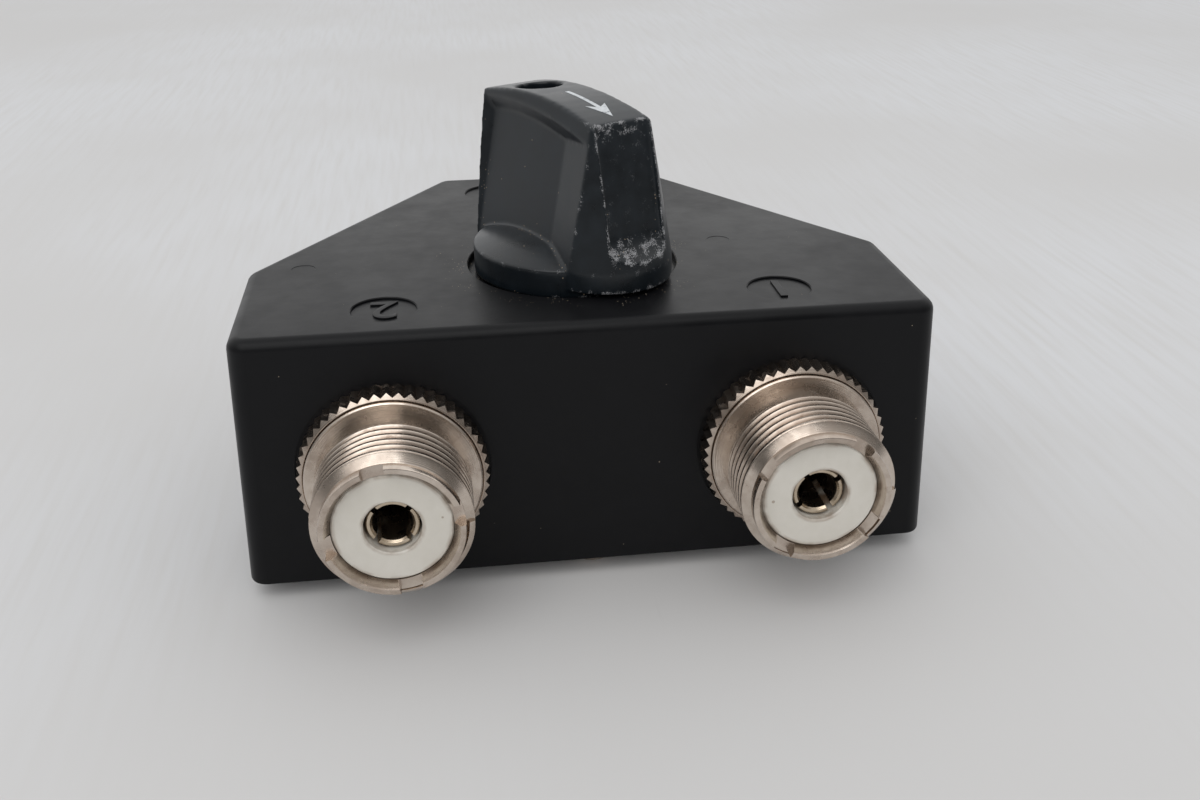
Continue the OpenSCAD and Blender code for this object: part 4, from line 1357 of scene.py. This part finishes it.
    def channel(self) -> bpy.types.Object:
        """The channel down the pointer end, with a leaning back and a cove at its foot."""
        floor = self.rim + self.channel_floor
        ceiling = self.ceiling + 1
        slope = (self.channel_foot - self.channel_top) / (self.top - floor - self.cove_radius)
        foot = self.channel_foot + slope * self.cove_radius
        height, length = ceiling - floor, 6.0
        obj = box_bar(
            "channel", Vector((length, 2 * self.channel_half_width, height)),
            Vector((foot + length / 2, 0, floor + height / 2)),
        )

        def at_top(ends: list[Vector]) -> bool:
            """True for the top corners of the channel's back."""
            return ends[0].z > ceiling - NEAR and ends[0].x < foot + NEAR

        def at_foot(ends: list[Vector]) -> bool:
            """True for the edge between the channel's back and its floor."""
            return all(end.z < floor + NEAR and end.x < foot + NEAR for end in ends)

        move_corners(obj, at_top, Vector((-slope * height, 0, 0)))
        bevel_edges(obj, at_foot, self.cove_radius, 8)
        return obj

    def base(self) -> bpy.types.Object:
        """The round base with its straight rim and domed top."""
        dome, steps = self.dome_radius, 12
        centre = self.rim - math.sqrt(dome**2 - self.base_radius**2)
        outline = [(0, self.low), (self.base_radius, self.low)]
        rim_angle = math.acos(self.base_radius / dome)
        for k in range(steps + 1):
            angle = rim_angle + (math.pi / 2 - rim_angle) * k / steps
            outline.append((dome * math.cos(angle), centre + dome * math.sin(angle)))
        outline[-1] = (0, outline[-1][1])
        return turned("knob_base", outline, closed=False, steps=128)

    def hollows(self, obj: bpy.types.Object) -> None:
        """Cuts the round hole in the top, the well over the bushing, the bore and the screw hole."""
        bottom, low = self.top - self.hole_depth, self.low
        top_hole = turned("top_hole", [
            (0, bottom), (self.hole_radius - 0.15, bottom), (self.hole_radius, self.top - 4),
            (self.hole_radius, self.top + 2), (0, self.top + 2),
        ], closed=False)
        screw_hole = disc("screw_hole", self.screw_radius, 0, self.tail_reach + 1, steps=32)
        for cutter in (
            moved(top_hole, shift(-self.hole_back, 0, 0)),
            disc("well", self.well_radius, low - 1, self.roof + self.well_height),
            disc("bore", self.bore_radius, low, self.roof + self.bore_depth),
            moved(screw_hole, shift(0, 0, self.roof + self.screw_height) @ turn(-90, "Y")),
        ):
            combine(obj, cutter, Cut.TAKE_AWAY)

    def soften(self, obj: bpy.types.Object) -> None:
        """Rebuilds the skin as a fine even grid and smooths it, most where hands wear it."""
        modified(obj, "REMESH", mode="VOXEL", voxel_size=self.grain_size * MM)
        self.handled_group(obj)
        for group in ("handled", ""):
            modified(
                obj, "SMOOTH", factor=0.5, iterations=self.worn_rounds, vertex_group=group
            )

    def handled_group(self, obj: bpy.types.Object) -> None:
        """Marks the part of the bar that hands have rounded, more and more towards the top."""
        pick(obj)
        bpy.ops.object.vertex_group_add()
        obj.vertex_groups[-1].name = "handled"
        for share, height in ((0.35, self.rim + 4.5), (0.7, self.rim + 8), (1.0, self.top - 6)):
            select_where(obj, "VERT", lambda ends: ends[0].z > height)
            bpy.context.scene.tool_settings.vertex_group_weight = share
            bpy.ops.object.vertex_group_assign()
            bpy.ops.object.mode_set(mode="OBJECT")

    def mark_wear(self, obj: bpy.types.Object) -> None:
        """Stores where edges stand out, for scuffs, and where creases hold dust."""
        mesh = obj.data
        places = vertex_places(obj)
        normals = np.zeros(len(mesh.vertices) * 3, np.float32)
        mesh.vertices.foreach_get("normal", normals)
        normals = normals.reshape(-1, 3)
        ends = np.zeros(len(mesh.edges) * 2, np.int32)
        mesh.edges.foreach_get("vertices", ends)
        ends = ends.reshape(-1, 2)
        bend = self.edge_bend(places, normals, ends)
        along, across, up = places[:, 0], places[:, 1], places[:, 2]
        pointer_end = np.clip((along - 6.5) / 2.5, 0, 1)
        in_channel = pointer_end * (np.abs(across) < self.channel_half_width + 0.3)
        brow_height = self.top - 2.3
        brow = np.exp(-(((up - brow_height) / 0.8) ** 2)) * in_channel
        foot_height = self.rim + self.channel_floor + 0.45 * self.cove_radius
        foot = np.exp(-(((up - foot_height) / 1.0) ** 2)) * in_channel
        face = 0.16 * in_channel * (up > foot_height) * (up < brow_height)
        edges = np.clip(bend * 2.6, 0, 1) * (0.05 + 0.7 * pointer_end)
        low_edge = 0.2 * np.clip(bend * 3, 0, 1) * (np.abs(up - self.rim) < 0.6)
        scuff = np.clip(edges + 0.7 * brow + 0.85 * foot + face + low_edge, 0, 1)
        hidden = (np.hypot(along, across) < 7.2) & (up < self.rim + 2)
        store_values(obj, SCUFF, np.where(hidden, 0, scuff))
        store_values(obj, SHADE_AND_GRIME, np.clip(-bend * 3.5, 0, 1) * (up < self.rim + 8))

    @staticmethod
    def edge_bend(places: np.ndarray, normals: np.ndarray, ends: np.ndarray) -> np.ndarray:
        """How much each vertex stands out from its neighbours, spread over a few rounds.

        Args:
            places: vertex places.
            normals: vertex normals.
            ends: the two vertices of each edge.

        Returns:
            A value for each vertex, above 0 on edges and below 0 in creases.
        """
        count = np.bincount(ends.ravel(), minlength=len(places)).astype(float)
        middle = np.zeros_like(places, dtype=float)
        for axis in range(3):
            middle[:, axis] = np.bincount(ends[:, 0], places[ends[:, 1], axis], len(places))
            middle[:, axis] += np.bincount(ends[:, 1], places[ends[:, 0], axis], len(places))
        middle /= np.maximum(count, 1)[:, None]
        bend = np.einsum("ij,ij->i", places - middle, normals) / 0.02
        for _ in range(3):
            spread = np.bincount(ends[:, 0], bend[ends[:, 1]], len(places))
            spread += np.bincount(ends[:, 1], bend[ends[:, 0]], len(places))
            bend = 0.5 * bend + 0.5 * spread / np.maximum(count, 1)
        return bend

    def arrow(self) -> bpy.types.Object:
        """The printed arrow: a flat outline, sliced along its length and bent over the arch."""
        tail, neck, tip = self.arrow_span
        shaft_half, barb_half = self.arrow_half_widths
        half = [(tail, shaft_half), (neck, shaft_half), (neck - self.barb_back, barb_half),
                (tip, 0.0)]
        outline = half + [(x, -y) for x, y in reversed(half[:-1])]
        clear_bench()
        bpy.ops.mesh.primitive_circle_add(vertices=len(outline), radius=MM, fill_type="NGON")
        obj = settle(named("knob_arrow"))
        for vertex, (x, y) in zip(obj.data.vertices, outline):
            vertex.co = Vector((x, y, 0)) * MM
        bpy.ops.object.mode_set(mode="EDIT")
        bpy.ops.mesh.select_all(action="SELECT")
        bpy.ops.mesh.quads_convert_to_tris()
        for k in range(16):
            bpy.ops.mesh.select_all(action="SELECT")
            bpy.ops.mesh.bisect(
                plane_co=((tail + 0.3 + k * 0.55) * MM, 0, 0), plane_no=(1, 0, 0), threshold=1e-7
            )
        bpy.ops.object.mode_set(mode="OBJECT")
        tidy_mesh(obj)
        reach = self.arch_radius + 0.012
        for vertex in obj.data.vertices:
            x = vertex.co.x / MM
            along = x + self.arch_back
            vertex.co.z = (self.top - self.arch_radius + math.sqrt(reach**2 - along**2)) * MM
        modified(obj, "SOLIDIFY", thickness=0.03 * MM, offset=-0.2)
        return moved(obj, self.on_axis)

    def build(self) -> None:
        """Builds the worn knob and its printed arrow."""
        obj = self.bar()
        combine(obj, self.base(), Cut.JOIN)
        self.hollows(obj)
        self.soften(obj)
        self.mark_wear(obj)
        store_local_place(obj)
        moved(obj, self.on_axis)
        obj.name = "pointer_knob"
        pick(obj)
        bpy.ops.object.shade_smooth()
        dress(obj, self.finishes.knob)
        seat(obj, Body.ROTOR, Slot.KNOB, "knob")
        arrow = dress(self.arrow(), self.finishes.arrow)
        seat(arrow, Body.ROTOR, Slot.KNOB)


@dataclass
class CoverScrews:
    """Three pan-headed screws with cross recesses: the part stands on their heads."""

    finishes: Finishes
    head_radius: float = 2.8
    head_height: float = 2.0
    head_rim: float = 0.6
    shank_radius: float = 1.45
    shank_top: float = 11.5
    point_length: float = 1.4
    cross_size: tuple[float, float, float] = (2.9, 0.62, 2.4)
    worn_edge: float = 0.06

    def __post_init__(self) -> None:
        """Finds each screw's place from the undersides of the heads in its frame node."""
        node = bpy.data.objects["cover_screws"]
        points = np.array([v.co for v in node.data.vertices]) / MM
        heads = points[points[:, 2] < 0.05]
        side = heads[:, 0]
        groups = (heads[side < -10], heads[np.abs(side) < 10], heads[side > 10])
        self.places = [
            [float(group[:, k].min() + group[:, k].max()) / 2 for k in range(2)]
            for group in groups
        ]

    def one(self) -> bpy.types.Object:
        """One screw, head down."""
        flat = self.head_radius * 0.55
        crown = self.head_height - self.head_rim
        outline = [(0, 0)]
        for k in range(7):
            angle = math.radians(15 * k)
            radius = flat + (self.head_radius - flat) * math.sin(angle)
            outline.append((radius, crown * (1 - math.cos(angle))))
        outline += [(self.head_radius, self.head_height), (self.shank_radius, self.head_height),
                    (self.shank_radius, self.shank_top - self.point_length), (0, self.shank_top)]
        obj = turned("cover_screw", outline, closed=False, steps=64)
        cross_cut(obj, Vector(self.cross_size), 0, 45)
        return modified(
            obj, "BEVEL", width=self.worn_edge * MM, segments=2, limit_method="ANGLE",
            angle_limit=math.radians(40), miter_outer="MITER_ARC",
        )

    def build(self) -> None:
        """Builds one screw and copies it to each place, each copy with its own mesh."""
        copies = [self.one()]
        for _ in self.places[1:]:
            pick(copies[0])
            bpy.ops.object.duplicate(linked=False)
            copies.append(bpy.context.object)
        for k, (obj, (x, y)) in enumerate(zip(copies, self.places)):
            obj.name = f"cover_screw_{k + 1}"
            store_local_place(obj)
            store_values(obj, SHADE_AND_GRIME, np.zeros(len(obj.data.vertices)))
            moved(obj, shift(x, y, 0) @ turn(37 * k))
            smooth_shaded(obj)
            dress(obj, self.finishes.nickel)
            seat(obj, Body.HOUSING, Slot.NICKEL, "cover_screws")


@dataclass
class InnerWorks:
    """The frame's own pieces that keep their shape and get a finish."""

    finishes: Finishes
    shaft_top: float = 9.5

    def short_shaft(self, node: bpy.types.Object) -> None:
        """Copies the frame's shaft and cuts it off inside the knob, below the round hole.

        Args:
            node: the frame's shaft.
        """
        pick(node)
        bpy.ops.object.duplicate(linked=False)
        obj = tidy_mesh(named("knob_shaft"))
        bpy.ops.object.mode_set(mode="EDIT")
        bpy.ops.mesh.select_all(action="SELECT")
        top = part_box("housing")[1].z + self.shaft_top * MM
        bpy.ops.mesh.bisect(
            plane_co=(0, 0, top), plane_no=(0, 0, 1), use_fill=True, clear_outer=True
        )
        bpy.ops.object.mode_set(mode="OBJECT")
        dress(obj, self.finishes.steel)
        seat(obj, Body.ROTOR, Slot.STEEL, "shaft")

    def dress(self, nodes: dict[str, bpy.types.Object]) -> None:
        """Assigns a finish to each remaining node of the frame."""
        self.short_shaft(nodes["shaft"])
        f = self.finishes
        by_finish = (
            (f.cover, ("bottom_cover",)),
            (f.strip, ("port_1_fork", "port_2_fork", "common_leaf", "signal_blade",
                       "ground_blade", "shaft_bushing")),
            (f.steel, ("detent_spring", "retaining_ring", "detent_plate", "detent_ball",
                       "knob_set_screw", "thrust_washer", "blade_rivets")),
            (f.hub, ("rotor_hub",)),
        )
        for material, names in by_finish:
            for name in names:
                dress(nodes[name], material)
                log.info("%s keeps its frame shape, finish %s", name, material.name)


@dataclass
class Studio:
    """Pale board, soft light and a camera where the photograph was taken."""

    finishes: Finishes
    camera_place: tuple[float, float, float] = (-14.596, -142.426, 78.488)
    camera_yaw: float = 7.5293
    camera_pitch: float = 26.2705
    camera_roll: float = -0.3976
    focal_length: float = 37.07
    sensor_width: float = 36.0
    board_size: float = 16000.0
    lamp_place: tuple[float, float, float] = (-0.3, -0.7, 0.9)
    lamp_aim: tuple[float, float, float] = (0.0, 0.0, 0.02)
    lamp_size: float = 1.0
    lamp_power: float = 5.0
    room: Colour = (0.835, 0.845, 0.86, 1)
    backdrop: Colour = (0.62, 0.62, 0.62, 1)
    mirrored_front: Colour = (0.10, 0.098, 0.095, 1)
    mirrored_back: Colour = (1.05, 1.05, 1.05, 1)
    mirrored_way: tuple[float, float, float] = (0.0, 0.6, 0.8)

    def board(self) -> None:
        """Adds the board as a wide plane."""
        clear_bench()
        bpy.ops.mesh.primitive_plane_add(size=self.board_size * MM)
        obj = named("painted_board")
        dress(obj, self.finishes.board)

    def camera(self) -> None:
        """Adds the camera from its fitted place, yaw, pitch and roll."""
        yaw, pitch, roll = (
            math.radians(a) for a in (self.camera_yaw, self.camera_pitch, self.camera_roll)
        )
        forward = Vector((math.sin(yaw) * math.cos(pitch), math.cos(yaw) * math.cos(pitch),
                          -math.sin(pitch)))
        level = Vector((math.cos(yaw), -math.sin(yaw), 0))
        upright = level.cross(forward)
        right = math.cos(roll) * level + math.sin(roll) * upright
        up = -math.sin(roll) * level + math.cos(roll) * upright
        rotation = Matrix((right, up, -forward)).transposed().to_4x4()
        clear_bench()
        bpy.ops.object.camera_add()
        camera = bpy.context.object
        camera.name = "photo_camera"
        camera.matrix_world = Matrix.Translation(Vector(self.camera_place) * MM) @ rotation
        camera.data.lens = self.focal_length
        camera.data.sensor_width = self.sensor_width
        camera.data.clip_start = 0.005
        camera.data.clip_end = 30
        bpy.context.scene.camera = camera

    def lamp(self) -> None:
        """Adds the square soft lamp, in front of the object and above it."""
        clear_bench()
        place, aim = Vector(self.lamp_place), Vector(self.lamp_aim)
        bpy.ops.object.light_add(type="AREA", location=place)
        lamp = bpy.context.object
        lamp.name = "top_softbox"
        lamp.data.shape = "SQUARE"
        lamp.data.size = self.lamp_size
        lamp.data.energy = self.lamp_power
        lamp.rotation_mode = "QUATERNION"
        lamp.rotation_quaternion = (aim - place).to_track_quat("-Z", "Y")

    def world(self) -> None:
        """Sets a pale room that mirrors darker in front, where the viewer stands."""
        world = bpy.data.worlds.new("pale_room")
        bpy.context.scene.world = world
        world.use_nodes = True
        desk = NodeDesk(world.node_tree)
        ray = desk.add("ShaderNodeLightPath").outputs
        inputs = {0: desk.add("ShaderNodeTexCoord").outputs["Generated"], 1: self.mirrored_way}
        up_and_back = desk.add("ShaderNodeVectorMath", inputs, operation="DOT_PRODUCT")
        level = desk.ramp(up_and_back.outputs["Value"], -0.25, 0.8)
        mirrored = desk.mix(level, self.mirrored_front, self.mirrored_back)
        lit = desk.mix(ray["Is Glossy Ray"], self.room, mirrored)
        colour = desk.mix(ray["Is Camera Ray"], lit, self.backdrop)
        sky = desk.add("ShaderNodeBackground", {"Color": colour, "Strength": 1.0})
        desk.add("ShaderNodeOutputWorld", {"Surface": sky.outputs[0]})

    def build(self) -> None:
        """Sets up the board, lamp, surroundings and camera."""
        bpy.context.scene.view_settings.view_transform = "Standard"
        self.board()
        self.world()
        self.lamp()
        self.camera()


def main() -> None:
    """Builds the switch around its frame, piece by piece."""
    logging.basicConfig(level=logging.INFO, format="%(message)s")
    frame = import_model()
    finishes = Finishes(SharedEffects())
    HousingCasting(finishes).build()
    for name, notch_turn, slot_turn in (
        ("port_1", 56.0, 35.0),
        ("port_2", 12.0, 45.0),
        ("common", 56.0, 20.0),
    ):
        CoaxSocket(finishes, name, notch_turn, slot_turn).build()
    PointerKnob(finishes).build()
    CoverScrews(finishes).build()
    InnerWorks(finishes).dress(frame["nodes"])
    Studio(finishes).build()


if __name__ == "__main__":
    main()
